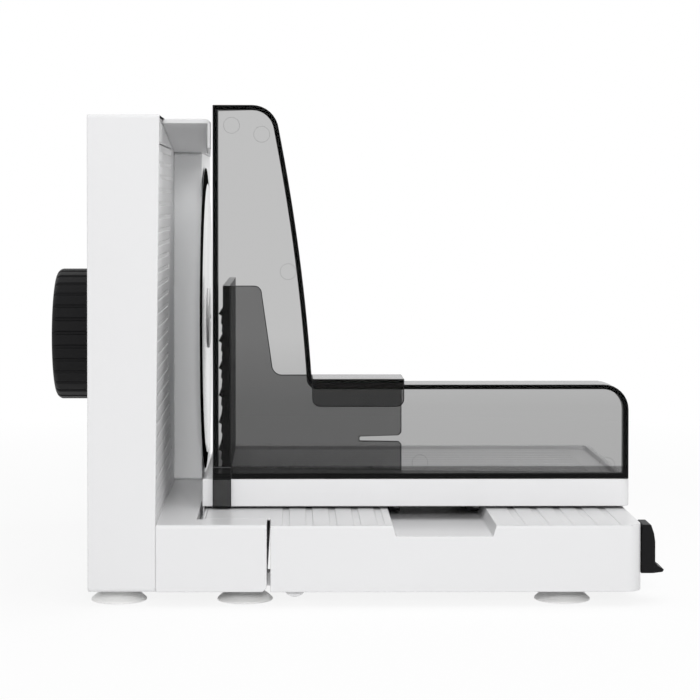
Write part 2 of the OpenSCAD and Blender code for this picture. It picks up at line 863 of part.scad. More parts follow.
module hinge_pins() {
  color(steel) place()
    for (m = [0, 1])
      translate([0, m * body_d, 0]) mirror([0, m, 0])
        rod_y(knuckle_cx, knuckle_z, hinge_pin_r, knuckle_y + 1.2, arm_y + knuckle_w + 2.6);
}

// Suction feet, three at the front and three at the back

function foot_profile() = [
  [0, 2], [foot_r - 5, 1.4], [foot_r - 4, 0], [foot_r, 0], [foot_r, 0.8],
  [foot_r - 2.5, 3], [foot_neck_r, foot_h - 2], [foot_neck_r, foot_h], [0, foot_h]];

module suction_feet() {
  color([0.88, 0.88, 0.87]) place()
    for (x = [column_foot_x, base_foot_x, table_foot_x]) for (y = [foot_y, body_d - foot_y])
      translate([x, y, 0])
        rotate_extrude($fn = 48)
          polygon(foot_profile());
}

// Screws that hold the base to the column, driven from the base's hollow

module base_screws() {
  color(steel) place() base_screw_places() {
    rod_x(0, 0, screw_r, panel_x0 - 5.5, column_w + wall);
    rod_x(0, 0, screw_r * 2, column_w + wall, column_w + wall + 2.2);
  }
}

// Gland of the mains lead in the back wall

gland_r = 7;

module cord_gland() {
  color(black) place() translate([column_w / 2, body_d, base_z + 16]) rotate([90, 0, 0])
    difference() {
      union() {
        cylinder(r = gland_r - 0.02, h = wall + 3);
        translate([0, 0, wall])
          cylinder(r = gland_r + 1.8, h = 2);
      }
      translate([0, 0, -1])
        cylinder(r = 3.3, h = 3);
    }
}

// Buttons with their rim, springs and switches

module switch_bezel() {
  h = button_h / 2 + bezel_w;
  w = button_w / 2 + bezel_w;
  color([0.3, 0.3, 0.31]) place() difference() {
    translate([0, button_y, button_z])
      along_x(-1.2, 0)
        polygon(round_rect(-w, -h, w, h + button_pitch, 5));
    button_places()
      along_x(-2, 1)
        polygon(round_rect(-button_w / 2 - button_gap, -button_h / 2 - button_gap,
          button_w / 2 + button_gap, button_h / 2 + button_gap, 3));
  }
}

module push_button(i) {
  translate([0, button_y, button_z + i * button_pitch]) difference() {
    union() {
      along_x(-button_out, wall + 1)
        polygon(round_rect(-button_w / 2, -button_h / 2, button_w / 2, button_h / 2, 2.6));
      along_x(wall + 0.4, wall + 2)
        polygon(round_rect(-button_w / 2 - 1.5, -button_h / 2 - 1.5,
          button_w / 2 + 1.5, button_h / 2 + 1.5, 2.6));
      rod_x(0, 0, 2, wall, wall + button_deep - 0.5);
    }
    // dished face for the finger
    translate([-button_out - 26.8, 0, 0])
      sphere(r = 28, $fn = 64);
  }
}

module power_button() {
  color(black) place() push_button(0);
}

module safety_button() {
  color([0.45, 0.46, 0.47]) place() push_button(1);
}

module return_spring(i) {
  translate([0, button_y, button_z + i * button_pitch]) difference() {
    rod_x(0, 0, 3.6, wall + 2.2, switch_x - 0.2);
    rod_x(0, 0, 2.6, wall, switch_x + 1);
  }
}

module power_spring() {
  color(steel) place() return_spring(0);
}

module safety_spring() {
  color(steel) place() return_spring(1);
}

module microswitches() {
  color([0.2, 0.2, 0.22]) place() button_places() {
    block(switch_x, panel_x0 - 0.2, -7, 7, -10, 10);
  }
}

// Blade's bearings

module blade_bearing() {
  color([0.7, 0.6, 0.4]) place() difference() {
    rod_x(blade_y, blade_z, bush_r, hub_x0 - 0.5, hub_x1 - 0.5);
    rod_x(blade_y, blade_z, shaft_r + run_gap, hub_x0 - 2, hub_x1 + 1);
  }
}

module rear_bearing() {
  color([0.7, 0.6, 0.4]) place() difference() {
    rod_x(blade_y, blade_z, shaft_r + 1.98, wall + 1.02, wall + 8);
    rod_x(blade_y, blade_z, shaft_r + run_gap, wall + 2, wall + 9);
  }
}

// Blade with its shaft, gear and lock

module blade() {
  color([0.85, 0.86, 0.87]) place() translate([blade_x, blade_y, blade_z]) rotate([0, 90, 0])
    rotate_extrude($fn = 160)
      polygon([
        [shaft_r + 1, 0], [blade_r, 0], [blade_r, edge_t], [blade_r - bevel_w, blade_t],
        [shaft_r + 1, blade_t]]);
}

module blade_shaft() {
  color(steel) place() difference() {
    union() {
      rod_x(blade_y, blade_z, shaft_r, wall + 2.2, blade_x + 1);
      rod_x(blade_y, blade_z, flange_r, hub_x1 + 0.4, blade_x);
      rod_x(blade_y, blade_z, shaft_r + 0.98, blade_x - 1, blade_x1);
    }
    rod_x(blade_y, blade_z, 2.5, blade_x1 - 9, blade_x1 + 1);
  }
}

module blade_gear() {
  color([0.93, 0.91, 0.84]) place() difference() {
    union() {
      translate([0, blade_y, blade_z])
        along_x(gear_x, gear_x + slow_w)
          rotate(slow_dir)
            polygon(gear_outline(blade_teeth, slow_module));
      rod_x(blade_y, blade_z, shaft_r + 5, wall + 8.4, gear_x + slow_w + 1.5);
    }
    rod_x(blade_y, blade_z, shaft_r + 0.02, wall, hub_x0);
    for (a = [0:60:300])
      rod_x(blade_y + web_ring_r * cos(a), blade_z + web_ring_r * sin(a), web_hole_r,
        gear_x - 1, gear_x + slow_w + 1);
  }
}

module blade_lock() {
  color([0.88, 0.88, 0.88]) place() difference() {
    union() {
      translate([blade_x1, blade_y, blade_z]) rotate([0, 90, 0])
        rotate_extrude()
          polygon([[0, 0], [lock_r, 0], [lock_r, lock_t / 2], [lock_r - 1.5, lock_t - 1],
            [lock_r - 4, lock_t], [0, lock_t]]);
      rod_x(blade_y, blade_z, 2.48, blade_x1 - 8.5, blade_x1 + 1);
    }
    translate([blade_x1 + lock_t - 1.8, blade_y, blade_z])
      cube([4, lock_r * 1.3, 3], center = true);
  }
}

// Idler: a large gear and a pinion in one moulding

module idler_gear() {
  color([0.93, 0.91, 0.84]) place() difference() {
    translate([0, idler_y, idler_z]) union() {
      along_x(fast_x, fast_x + fast_w)
        rotate(fast_dir)
          polygon(gear_outline(idler_teeth, fast_module));
      along_x(gear_x - 0.5, gear_x + slow_w + 0.5)
        rotate(slow_dir + 180 + 180 / pinion_teeth)
          polygon(gear_outline(pinion_teeth, slow_module));
      rod_x(0, 0, slow_pinion_r - 2, fast_x + 1, gear_x + 1);
    }
    rod_x(idler_y, idler_z, axle_r + run_gap, fast_x - 1, panel_x0 + 1);
  }
}

module idler_axle() {
  color(steel) place()
    rod_x(idler_y, idler_z, axle_r, wall + 0.6, panel_x0 - 0.2);
}

// Motor on its bracket

module motor() {
  color([0.55, 0.56, 0.58]) place() difference() {
    union() {
      translate([motor_x, motor_y, motor_z]) rotate([0, 90, 0])
        rotate_extrude()
          polygon([[0, 0], [motor_r - 1.5, 0], [motor_r, 1.5], [motor_r, motor_len - 2],
            [motor_r - 2, motor_len], [0, motor_len]]);
      rod_x(motor_y, motor_z, 6, motor_x + motor_len - 1, motor_x + motor_len + 1.5);
    }
    rod_x(motor_y, motor_z, motor_shaft_r + run_gap, motor_x - 1, motor_x + motor_len - 3);
  }
}

module motor_bracket() {
  color(steel) place() difference() {
    along_x(bracket_x, bracket_x + bracket_t)
      translate([motor_y, motor_z])
        polygon([
          [post_reach + 4, post_reach + 4], [-post_reach - 4, post_reach + 4],
          [-post_reach - 4, post_reach - 4], [post_reach - 4, -post_reach - 4],
          [post_reach + 4, -post_reach - 4]]);
    rod_x(motor_y, motor_z, motor_shaft_r + 2, bracket_x - 1, bracket_x + bracket_t + 1);
    motor_post_places()
      rod_x(0, 0, screw_r + 0.2, bracket_x - 1, bracket_x + bracket_t + 1);
  }
}

module motor_screws() {
  color(steel) place() motor_post_places() {
    rod_x(0, 0, screw_r - run_gap, bracket_x - motor_screw_len, bracket_x + bracket_t);
    rod_x(0, 0, 3, bracket_x + bracket_t, bracket_x + bracket_t + 1.8);
  }
}

module motor_pinion() {
  color([0.8, 0.7, 0.45]) place() {
    translate([0, motor_y, motor_z])
      along_x(fast_x - 0.5, fast_x + fast_w + 0.5)
        rotate(fast_dir + 180 + 180 / pinion_teeth)
          polygon(gear_outline(pinion_teeth, fast_module));
    rod_x(motor_y, motor_z, motor_shaft_r, fast_x, motor_x + motor_len - 4);
  }
}

// Stop plate with its skirt and ribs

module stop_plate() {
  color([0.93, 0.93, 0.93]) place() {
    along_x(plate_x, plate_x + plate_t)
      polygon(plate_outline(0));
    intersection() {
      along_x(plate_x + plate_t - 0.5, column_w)
        polygon(plate_outline(0));
      for (z = [plate_z0 + 1 : rib_pitch : plate_z1 - rib_w])
        block(plate_x, column_w, plate_y0, plate_far, z, z + rib_w);
    }
    difference() {
      along_x(plate_x - skirt_d, plate_x + 0.5)
        polygon(plate_outline(0));
      along_x(plate_x - skirt_d - 1, plate_x)
        polygon(plate_outline(plate_t));
    }
  }
}

module guide_rods() {
  color(steel) place() guide_places()
    rod_x(0, 0, rod_r, rod_x0, plate_x);
}

twist_step = 5;

// Square bar twisted into a steep thread about X, in step with the knob's turn
module twisted_bar(x0, x1, r) {
  translate([x0, knob_y, knob_z]) rotate([0, 90, 0]) rotate([0, 0, -lead_deg * x0])
    linear_extrude(height = x1 - x0, twist = lead_deg * (x1 - x0),
      slices = round(lead_deg * (x1 - x0) / twist_step), segments = 4)
      polygon([[r, 0], [0, r], [-r, 0], [0, -r]]);
}

module spindle() {
  color([0.85, 0.85, 0.84]) place()
    twisted_bar(spindle_x0, plate_x, spindle_r);
}

module spindle_nut() {
  color([0.3, 0.3, 0.3]) place() difference() {
    union() {
      rod_x(knob_y, knob_z, nut_r, nut_x0, nut_x1);
      rod_x(knob_y, knob_z, nut_r + 3, nut_flange_x, nut_flange_x + 2);
    }
    twisted_bar(nut_x0 - 1, nut_x1 + 1, spindle_r + spindle_gap);
  }
}

// Outline over the knob's grip ribs
function knob_outline() = [
  for (i = [0:knob_ribs - 1]) for (s = [[0, 1], [0.66, 1], [0.76, 0], [0.9, 0]])
    let (a = 360 * (i + s[0]) / knob_ribs, r = knob_r - knob_groove * (1 - s[1]))
    [r * cos(a), r * sin(a)]];

// Trim of the knob's ribs: from the column straight to the rim, which is rounded to the face
rim_r = knob_r + 0.05;
rim_z = knob_len - 0.8 - knob_rim;

module knob_body() {
  intersection() {
    translate([0, 0, knob_gap])
      linear_extrude(height = knob_len) polygon(knob_outline());
    rotate_extrude()
      polygon(concat(
        [[0, 0], [rim_r, 0]],
        [for (a = [0:18:72]) [rim_r - knob_rim * (1 - cos(a)), rim_z + knob_rim * sin(a)]],
        [[rim_r / 2, knob_len], [0, knob_len]]));
  }
}

module thickness_knob() {
  color(black) place() translate([0, knob_y, knob_z]) rotate([0, -90, 0])
    difference() {
      knob_body();
      // hollow between the rim and the nut's seat
      rotate_extrude()
        polygon([
          [nut_r + 2.5, -1], [knob_r - 6, -1], [knob_r - 6, knob_len - 9],
          [nut_r + 2.5, knob_len - 5]]);
      translate([0, 0, -1])
        cylinder(r = nut_r + 0.02, h = 1.02 - nut_x0);
      cylinder(r = spindle_r + 1.5, h = 2.5 - nut_x0);
    }
}

// Fold latch and its pin

module latch_pin() {
  color(steel) place()
    rod_y(latch_pin_x, latch_pin_z, latch_pin_r, latch_boss_y0 - latch_gap - 1.9,
      latch_boss_y1 + 4.9);
}

module latch_spring() {
  color(steel) place() difference() {
    rod_y(latch_pin_x, latch_pin_z, latch_pin_r + 1.3, latch_boss_y1 + 0.5, latch_boss_y1 + 2.9);
    rod_y(latch_pin_x, latch_pin_z, latch_pin_r + 0.2, latch_boss_y1, latch_boss_y1 + 6);
  }
}

// End view of the latch from the top corner of the table's end face
function latch_outline() = [
  [latch_gap + 0.9, 0], [latch_t - 2, 0], [latch_t - 0.6, -latch_h * 0.18],
  [latch_t, -latch_h * 0.35], [latch_t, 5.5 - latch_h], [latch_t + 1.2, 3.6 - latch_h],
  [latch_t + latch_toe, 1.8 - latch_h], [latch_t + latch_toe - 0.8, 0.6 - latch_h],
  [latch_t - 1, -latch_h], [latch_gap, -latch_h], [latch_gap, latch_pin_z - latch_top]];

module fold_latch() {
  color(black) place() difference() {
    union() {
      translate([table_x1, 0, latch_top])
        along_y(latch_y, latch_y + latch_w)
          polygon(latch_outline());
      rod_y(latch_pin_x, latch_pin_z, latch_boss_r, latch_boss_y0, latch_boss_y1);
      block(latch_pin_x, table_x1 + latch_gap + 1, latch_boss_y0, latch_boss_y1,
        latch_pin_z - latch_boss_r, latch_pin_z + latch_boss_r / 2);
    }
    rod_y(latch_pin_x, latch_pin_z, latch_pin_r + run_gap, latch_y - 1, latch_y + latch_w + 1);
  }
}

// Carriage tray, its clear wall and its runners

module carriage_tray() {
  color(white) place() {
    difference() {
      along_z(tray_z, tray_top)
        polygon(d_shape(tray_x, carriage_y, tray_x1, tray_y1, tray_r));
      along_z(tray_z - 1, tray_under)
        polygon(d_shape(tray_x + 2.2, carriage_y + 2.2, tray_x1 - 2.2, tray_y1 - 2.2,
          tray_r - 2.2));
      along_z(tray_floor, tray_top + 1)
        polygon(d_shape(tray_x - 1, carriage_y + 3, tray_x1 - 2.5, tray_y1 - 2.5,
          tray_r - 2.5));
    }
    // ridges that the food slides on
    for (y = [carriage_y + 10 : ridge_pitch : tray_y1 - 8])
      block(tray_x + 1, tray_x1 - 14, y - 1, y + 1, tray_floor - 0.5, tray_floor + ridge_h);
    // tongue that runs in the base's slot
    block(tray_x, tray_x + 1, carriage_y + 4, tray_y1 - 4, base_top - slot_d + 0.6, tray_under);
  }
}

module carriage_runners() {
  color(grey) place()
    for (x = [channel_x0 + channel_slope + runner_gap,
        channel_x1 - channel_slope - runner_gap - runner_w]) {
      block(x, x + runner_w, carriage_y + 3, tray_y1 - 4,
        channel_z + runner_gap, base_top - 0.4);
      block(x + 1.4, x + runner_w - 1.4, carriage_y + 4, tray_y1 - 4,
        base_top - 1, tray_under);
    }
}

// Outline of the clear wall; the inset moves its top and right edges inwards
function wall_outline(inset, x0, z0) =
  let (
    fillet_x = top_cx + (top_r * cos(lean)) + (top_cz + top_r * sin(lean) - low_top - inner_r)
      * tan(lean) + inner_r / cos(lean)
  )
  concat(
    [[x0, z0], [wall_x1 - inset, z0]],
    arc(wall_x1 - low_r, low_top - low_r, low_r - inset, 0, 90),
    arc(fillet_x, low_top + inner_r, inner_r + inset, 270, 180 + lean),
    arc(top_cx, top_cz, top_r - inset, lean, 90),
    [[x0, wall_top - inset]]);

module carriage_wall() {
  color(smoke) place() {
    difference() {
      along_y(carriage_y, flange_y1)
        polygon(wall_outline(0, wall_x, tray_top));
      along_y(carriage_y + clear_t, flange_y1 + 1)
        polygon(wall_outline(flange_t, wall_x + flange_t, tray_top + wall_foot_t));
    }
    // leg in front of the tray
    block(wall_x, wall_x + leg_w, carriage_y - clear_t, carriage_y - 0.05, tray_z - 0.4,
      tray_top + 6);
    block(wall_x, wall_x + leg_w, carriage_y - 0.1, carriage_y + 0.5, tray_top, tray_top + 6);
  }
}

// Pusher: a clear body that rides on the wall's flange, with a toothed press plate

module pusher_body() {
  slope = tan(lean);
  top_x1 = press_x + pusher_top_w + 2;
  grip_x = pusher_x1 - grip_w;
  color(smoke) place() {
    along_y(pusher_y, pusher_y + clear_t)
      polygon(concat(
        [[press_x + press_t, pusher_z], [pusher_x1, pusher_z],
         [pusher_x1, pusher_z + notch_rise - notch_h / 2],
         [pusher_x1 - notch_h / 2, pusher_z + notch_rise],
         [pusher_x1 - notch_len, pusher_z + notch_rise + 0.3],
         [pusher_x1 - notch_len, pusher_z + notch_rise + notch_h - 0.6],
         [pusher_x1 - notch_h / 2, pusher_z + notch_rise + notch_h],
         [pusher_x1, pusher_z + notch_rise + notch_h * 1.5],
         [pusher_x1, pusher_low_z]],
        arc(top_x1 + (pusher_h - pusher_low) * slope + 5, pusher_low_z + 5, 5, 270, 180),
        arc(top_x1 - 4, pusher_top_z - 4, 4, 0, 90),
        [[press_x + press_t, pusher_top_z]]));
    block(press_x + press_t, pusher_x1, pusher_y, pusher_y + pusher_foot_d, pusher_z,
      pusher_z + pusher_foot_t);
    block(grip_x, pusher_x1, carriage_y - pusher_gap - clear_t, pusher_y + 0.5,
      low_top + pusher_gap, pusher_low_z);
    along_y(carriage_y - pusher_gap - clear_t, carriage_y - pusher_gap)
      polygon(concat(
        [[grip_x, pusher_low_z]],
        arc(grip_x + 4, pusher_low_z - grip_h + 4, 4, 180, 270),
        arc(pusher_x1 - 4, pusher_low_z - grip_h + 4, 4, 270, 360),
        [[pusher_x1, pusher_low_z]]));
  }
}

// Side view of the press plate in X and Z, with a steep tooth and two low steps to each pitch
function press_outline() =
  let (count = floor((pusher_h - 4) / tooth_pitch))
  concat(
    [[press_x + press_t, pusher_z], [press_x + press_t, pusher_top_z],
     [press_x, pusher_top_z]],
    [for (k = [count - 1:-1:0]) for (p = [[0.98, 0], [0.8, 1], [0.72, 0.25], [0.45, 0.45],
        [0.38, 0.1], [0.15, 0.3], [0.08, 0]])
      [press_x - tooth_h * p[1], pusher_z + 2 + (k + p[0]) * tooth_pitch]],
    [[press_x, pusher_z]]);

module press_plate() {
  color(black) place()
    along_y(pusher_y, pusher_y + press_d)
      polygon(press_outline());
}

housing_shell();
side_panel();
gear_housing();
top_hood();
base_body();
folding_table();
hinge_pins();
suction_feet();
base_screws();
cord_gland();
switch_bezel();
microswitches();
blade_bearing();
rear_bearing();
idler_axle();
motor();
motor_bracket();
motor_screws();
latch_pin();
latch_spring();
blade();
blade_shaft();
blade_gear();
blade_lock();
idler_gear();
motor_pinion();
stop_plate();
guide_rods();
spindle();
thickness_knob();
spindle_nut();
power_button();
power_spring();
safety_button();
safety_spring();
fold_latch();
carriage_tray();
carriage_wall();
carriage_runners();
pusher_body();
press_plate();
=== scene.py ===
import bmesh
import bpy
import json
import math
from mathutils import Euler, Matrix, Vector
from mathutils.bvhtree import BVHTree


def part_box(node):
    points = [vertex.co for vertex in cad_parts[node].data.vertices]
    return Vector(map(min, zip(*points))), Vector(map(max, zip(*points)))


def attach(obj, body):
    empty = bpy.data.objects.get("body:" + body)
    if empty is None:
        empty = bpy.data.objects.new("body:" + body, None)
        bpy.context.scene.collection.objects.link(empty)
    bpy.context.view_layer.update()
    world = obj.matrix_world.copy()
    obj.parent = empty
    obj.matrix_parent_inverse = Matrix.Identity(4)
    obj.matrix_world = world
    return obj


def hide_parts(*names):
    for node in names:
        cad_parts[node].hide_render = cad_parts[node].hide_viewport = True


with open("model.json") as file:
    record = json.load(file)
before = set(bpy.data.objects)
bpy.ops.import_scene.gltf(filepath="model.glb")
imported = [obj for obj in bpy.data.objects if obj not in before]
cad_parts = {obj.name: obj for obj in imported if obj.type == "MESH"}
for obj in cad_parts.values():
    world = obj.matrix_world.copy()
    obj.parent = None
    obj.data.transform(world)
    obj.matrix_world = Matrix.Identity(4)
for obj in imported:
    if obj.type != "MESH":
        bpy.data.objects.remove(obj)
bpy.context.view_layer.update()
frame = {"nodes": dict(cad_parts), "record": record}

# The camera stands at the operator's side, a metre from the front of the base and level with
# the upper part of the blade, so that edges along the carriage travel meet left of the middle.
eye = Vector((-0.03145, -1.1415, 0.1938))
yaw = math.radians(0.4)
pitch = math.radians(1.0)
lens = 108.3
sensor = 36.0
near_clip = 0.05
far_clip = 20
frame_px = 700
vanish_x = 60 / frame_px
vanish_y = 150 / frame_px
camera = bpy.data.objects.new("camera", bpy.data.cameras.new("camera"))
bpy.context.scene.collection.objects.link(camera)
camera.location = eye
camera.rotation_euler = Euler((math.pi / 2 - pitch, 0, -yaw), "XYZ")
camera.data.lens = lens
camera.data.sensor_width = sensor
camera.data.shift_x = vanish_x - math.tan(yaw) * lens / sensor
camera.data.shift_y = -vanish_y + math.tan(pitch) * lens / sensor
camera.data.clip_start = near_clip
camera.data.clip_end = far_clip
bpy.context.scene.camera = camera
bpy.context.scene.view_settings.view_transform = "Standard"


# The studio: a world that the camera, glossy and clear surfaces see as white, four soft lamps
# at a plain level, and a pale floor that turns white further out but keeps the shadow. The
# floor also glows a little onto the machine, as painted light, so that the overhangs and the
# underside aren't too dark.
white_rays = ["Is Camera Ray", "Is Glossy Ray", "Is Transmission Ray"]


def seen_rays(nodes, links, kinds):
    path = nodes.new("ShaderNodeLightPath")
    total = path.outputs[kinds[0]]
    for kind in kinds[1:]:
        either = nodes.new("ShaderNodeMath")
        either.operation = "MAXIMUM"
        links.new(total, either.inputs[0])
        links.new(path.outputs[kind], either.inputs[1])
        total = either.outputs[0]
    return total


def world_light(level):
    world = bpy.data.worlds.new("studio")
    world.use_nodes = True
    nodes, links = world.node_tree.nodes, world.node_tree.links
    nodes.clear()
    strength = nodes.new("ShaderNodeMapRange")
    strength.inputs["To Min"].default_value = level
    strength.inputs["To Max"].default_value = 1.0
    links.new(seen_rays(nodes, links, white_rays), strength.inputs["Value"])
    back = nodes.new("ShaderNodeBackground")
    back.inputs["Color"].default_value = (1, 1, 1, 1)
    links.new(strength.outputs["Result"], back.inputs["Strength"])
    out = nodes.new("ShaderNodeOutputWorld")
    links.new(back.outputs[0], out.inputs["Surface"])
    bpy.context.scene.world = world


def lamp(name, place, target, size, watts, mirrored=True):
    data = bpy.data.lights.new(name, "AREA")
    data.shape = "SQUARE"
    data.size = size
    data.energy = watts
    light = bpy.data.objects.new(name, data)
    light.location = place
    light.visible_glossy = mirrored
    light.rotation_euler = (Vector(target) - Vector(place)).to_track_quat("-Z", "Y").to_euler()
    bpy.context.scene.collection.objects.link(light)


def studio_floor(half, white_near, white_from, white_to, under_glow):
    mesh = bpy.data.meshes.new("floor")
    mesh.from_pydata([(-half, -half, 0), (half, -half, 0), (half, half, 0), (-half, half, 0)],
                     [], [(0, 1, 2, 3)])
    floor = bpy.data.objects.new("floor", mesh)
    bpy.context.scene.collection.objects.link(floor)
    material = bpy.data.materials.new("pale_floor")
    material.use_nodes = True
    nodes, links = material.node_tree.nodes, material.node_tree.links
    nodes.clear()
    diffuse = nodes.new("ShaderNodeBsdfDiffuse")
    diffuse.inputs["Color"].default_value = (0.9, 0.9, 0.9, 1)
    glow = nodes.new("ShaderNodeEmission")
    glow.inputs["Color"].default_value = (1, 1, 1, 1)
    place = nodes.new("ShaderNodeTexCoord")
    reach = nodes.new("ShaderNodeVectorMath")
    reach.operation = "LENGTH"
    links.new(place.outputs["Object"], reach.inputs[0])
    white = nodes.new("ShaderNodeMapRange")
    white.inputs["From Min"].default_value = white_from
    white.inputs["From Max"].default_value = white_to
    white.inputs["To Min"].default_value = white_near
    white.inputs["To Max"].default_value = 1.0
    links.new(reach.outputs["Value"], white.inputs["Value"])
    share = nodes.new("ShaderNodeMath")
    share.operation = "MULTIPLY"
    links.new(seen_rays(nodes, links, white_rays), share.inputs[0])
    links.new(white.outputs["Result"], share.inputs[1])
    under = nodes.new("ShaderNodeMath")
    under.operation = "MULTIPLY_ADD"
    under.inputs[1].default_value = under_glow
    links.new(seen_rays(nodes, links, ["Is Diffuse Ray"]), under.inputs[0])
    links.new(share.outputs[0], under.inputs[2])
    mix = nodes.new("ShaderNodeMixShader")
    links.new(under.outputs[0], mix.inputs[0])
    links.new(diffuse.outputs[0], mix.inputs[1])
    links.new(glow.outputs[0], mix.inputs[2])
    out = nodes.new("ShaderNodeOutputMaterial")
    links.new(mix.outputs[0], out.inputs["Surface"])
    mesh.materials.append(material)


world_light(level=0.37)
machine_middle = (0, 0, 0.1)
soft_size = 1.4
lamp("front", (-0.03, -2.15, 0.8), (-0.03, 0, 0.13), size=0.36, watts=16, mirrored=False)
lamp("key", (0.9, -1.5, 1.5), machine_middle, soft_size, watts=5)
lamp("fill", (-1.1, -1.6, 0.7), machine_middle, soft_size, watts=3)
lamp("overhead", (0.3, 0.0, 1.6), machine_middle, soft_size, watts=13, mirrored=False)
studio_floor(half=6.0, white_near=0.86, white_from=0.35, white_to=0.75, under_glow=0.22)


# Column: an upright shell, injection moulded in glossy white plastic with a very fine grain.
# Its outer edges are softly rounded, and the front edge leans out a little towards the top.
def node_group(name, inputs, outputs):
    group = bpy.data.node_groups.new(name, "ShaderNodeTree")
    for label, kind, value in inputs:
        socket = group.interface.new_socket(label, in_out="INPUT", socket_type=kind)
        socket.default_value = value
    for label, kind in outputs:
        group.interface.new_socket(label, in_out="OUTPUT", socket_type=kind)
    return group, group.nodes.new("NodeGroupInput"), group.nodes.new("NodeGroupOutput")


def make_grain_group():
    group, source, sink = node_group(
        "moulded_grain",
        [("Grain Scale", "NodeSocketFloat", 2600.0), ("Grain Depth", "NodeSocketFloat", 0.12),
         ("Edge Radius", "NodeSocketFloat", 0.0005), ("Rough Low", "NodeSocketFloat", 0.3),
         ("Rough High", "NodeSocketFloat", 0.4)],
        [("Normal", "NodeSocketVector"), ("Roughness", "NodeSocketFloat"),
         ("Mottle", "NodeSocketFloat"), ("Edge", "NodeSocketFloat")])
    nodes, links = group.nodes, group.links
    place = nodes.new("ShaderNodeTexCoord")
    grain = nodes.new("ShaderNodeTexNoise")
    grain.inputs["Detail"].default_value = 3.0
    links.new(place.outputs["Object"], grain.inputs["Vector"])
    links.new(source.outputs["Grain Scale"], grain.inputs["Scale"])
    soft = nodes.new("ShaderNodeBevel")
    soft.samples = 4
    links.new(source.outputs["Edge Radius"], soft.inputs["Radius"])
    bump = nodes.new("ShaderNodeBump")
    bump.inputs["Distance"].default_value = 0.0001
    links.new(source.outputs["Grain Depth"], bump.inputs["Strength"])
    links.new(grain.outputs[0], bump.inputs["Height"])
    links.new(soft.outputs["Normal"], bump.inputs["Normal"])
    links.new(bump.outputs["Normal"], sink.inputs["Normal"])
    cloud = nodes.new("ShaderNodeTexNoise")
    cloud.inputs["Scale"].default_value = 14.0
    cloud.inputs["Detail"].default_value = 6.0
    links.new(place.outputs["Object"], cloud.inputs["Vector"])
    links.new(cloud.outputs[0], sink.inputs["Mottle"])
    rough = nodes.new("ShaderNodeMapRange")
    rough.inputs["From Min"].default_value = 0.1
    rough.inputs["From Max"].default_value = 0.9
    links.new(cloud.outputs[0], rough.inputs["Value"])
    links.new(source.outputs["Rough Low"], rough.inputs["To Min"])
    links.new(source.outputs["Rough High"], rough.inputs["To Max"])
    links.new(rough.outputs["Result"], sink.inputs["Roughness"])
    geometry = nodes.new("ShaderNodeNewGeometry")
    bend = nodes.new("ShaderNodeVectorMath")
    bend.operation = "DOT_PRODUCT"
    links.new(soft.outputs["Normal"], bend.inputs[0])
    links.new(geometry.outputs["True Normal"], bend.inputs[1])
    edge = nodes.new("ShaderNodeMapRange")
    edge.inputs["From Min"].default_value = 0.99
    edge.inputs["From Max"].default_value = 0.8
    links.new(bend.outputs["Value"], edge.inputs["Value"])
    links.new(edge.outputs["Result"], sink.inputs["Edge"])
    return group


grain_group = make_grain_group()


def tint_mix(nodes, links, factor, low, high):
    mix = nodes.new("ShaderNodeMix")
    mix.data_type = "RGBA"
    mix.inputs[6].default_value = (*low, 1)
    mix.inputs[7].default_value = (*high, 1)
    links.new(factor, mix.inputs[0])
    return mix


def moulded_plastic(name, low, high, edge_colour, rough=(0.3, 0.4), grain=0.12, specular=0.5,
                    clear=0.0):
    material = bpy.data.materials.new(name)
    material.use_nodes = True
    nodes, links = material.node_tree.nodes, material.node_tree.links
    shader = nodes["Principled BSDF"]
    group = nodes.new("ShaderNodeGroup")
    group.node_tree = grain_group
    group.inputs["Grain Depth"].default_value = grain
    group.inputs["Rough Low"].default_value = rough[0]
    group.inputs["Rough High"].default_value = rough[1]
    body = tint_mix(nodes, links, group.outputs["Mottle"], low, high)
    # Where the edges are rounded, the colour turns to the edge colour.
    edge_tone = nodes.new("ShaderNodeMix")
    edge_tone.data_type = "RGBA"
    edge_tone.inputs[7].default_value = (*edge_colour, 1)
    links.new(group.outputs["Edge"], edge_tone.inputs[0])
    links.new(body.outputs[2], edge_tone.inputs[6])
    links.new(edge_tone.outputs[2], shader.inputs["Base Color"])
    links.new(group.outputs["Roughness"], shader.inputs["Roughness"])
    links.new(group.outputs["Normal"], shader.inputs["Normal"])
    shader.inputs["Specular IOR Level"].default_value = specular
    shader.inputs["Transmission Weight"].default_value = clear
    return material


def body_with(node):
    return next(name for name, nodes in frame["record"]["behaviour"]["bodies"].items()
                if node in nodes)


def slot_of(node):
    return next(part["material_slot"] for part in frame["record"]["subparts"]
                if part["node"] == node)


def settle(piece, body, slot, *nodes):
    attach(piece, body)
    if nodes:
        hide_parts(*nodes)


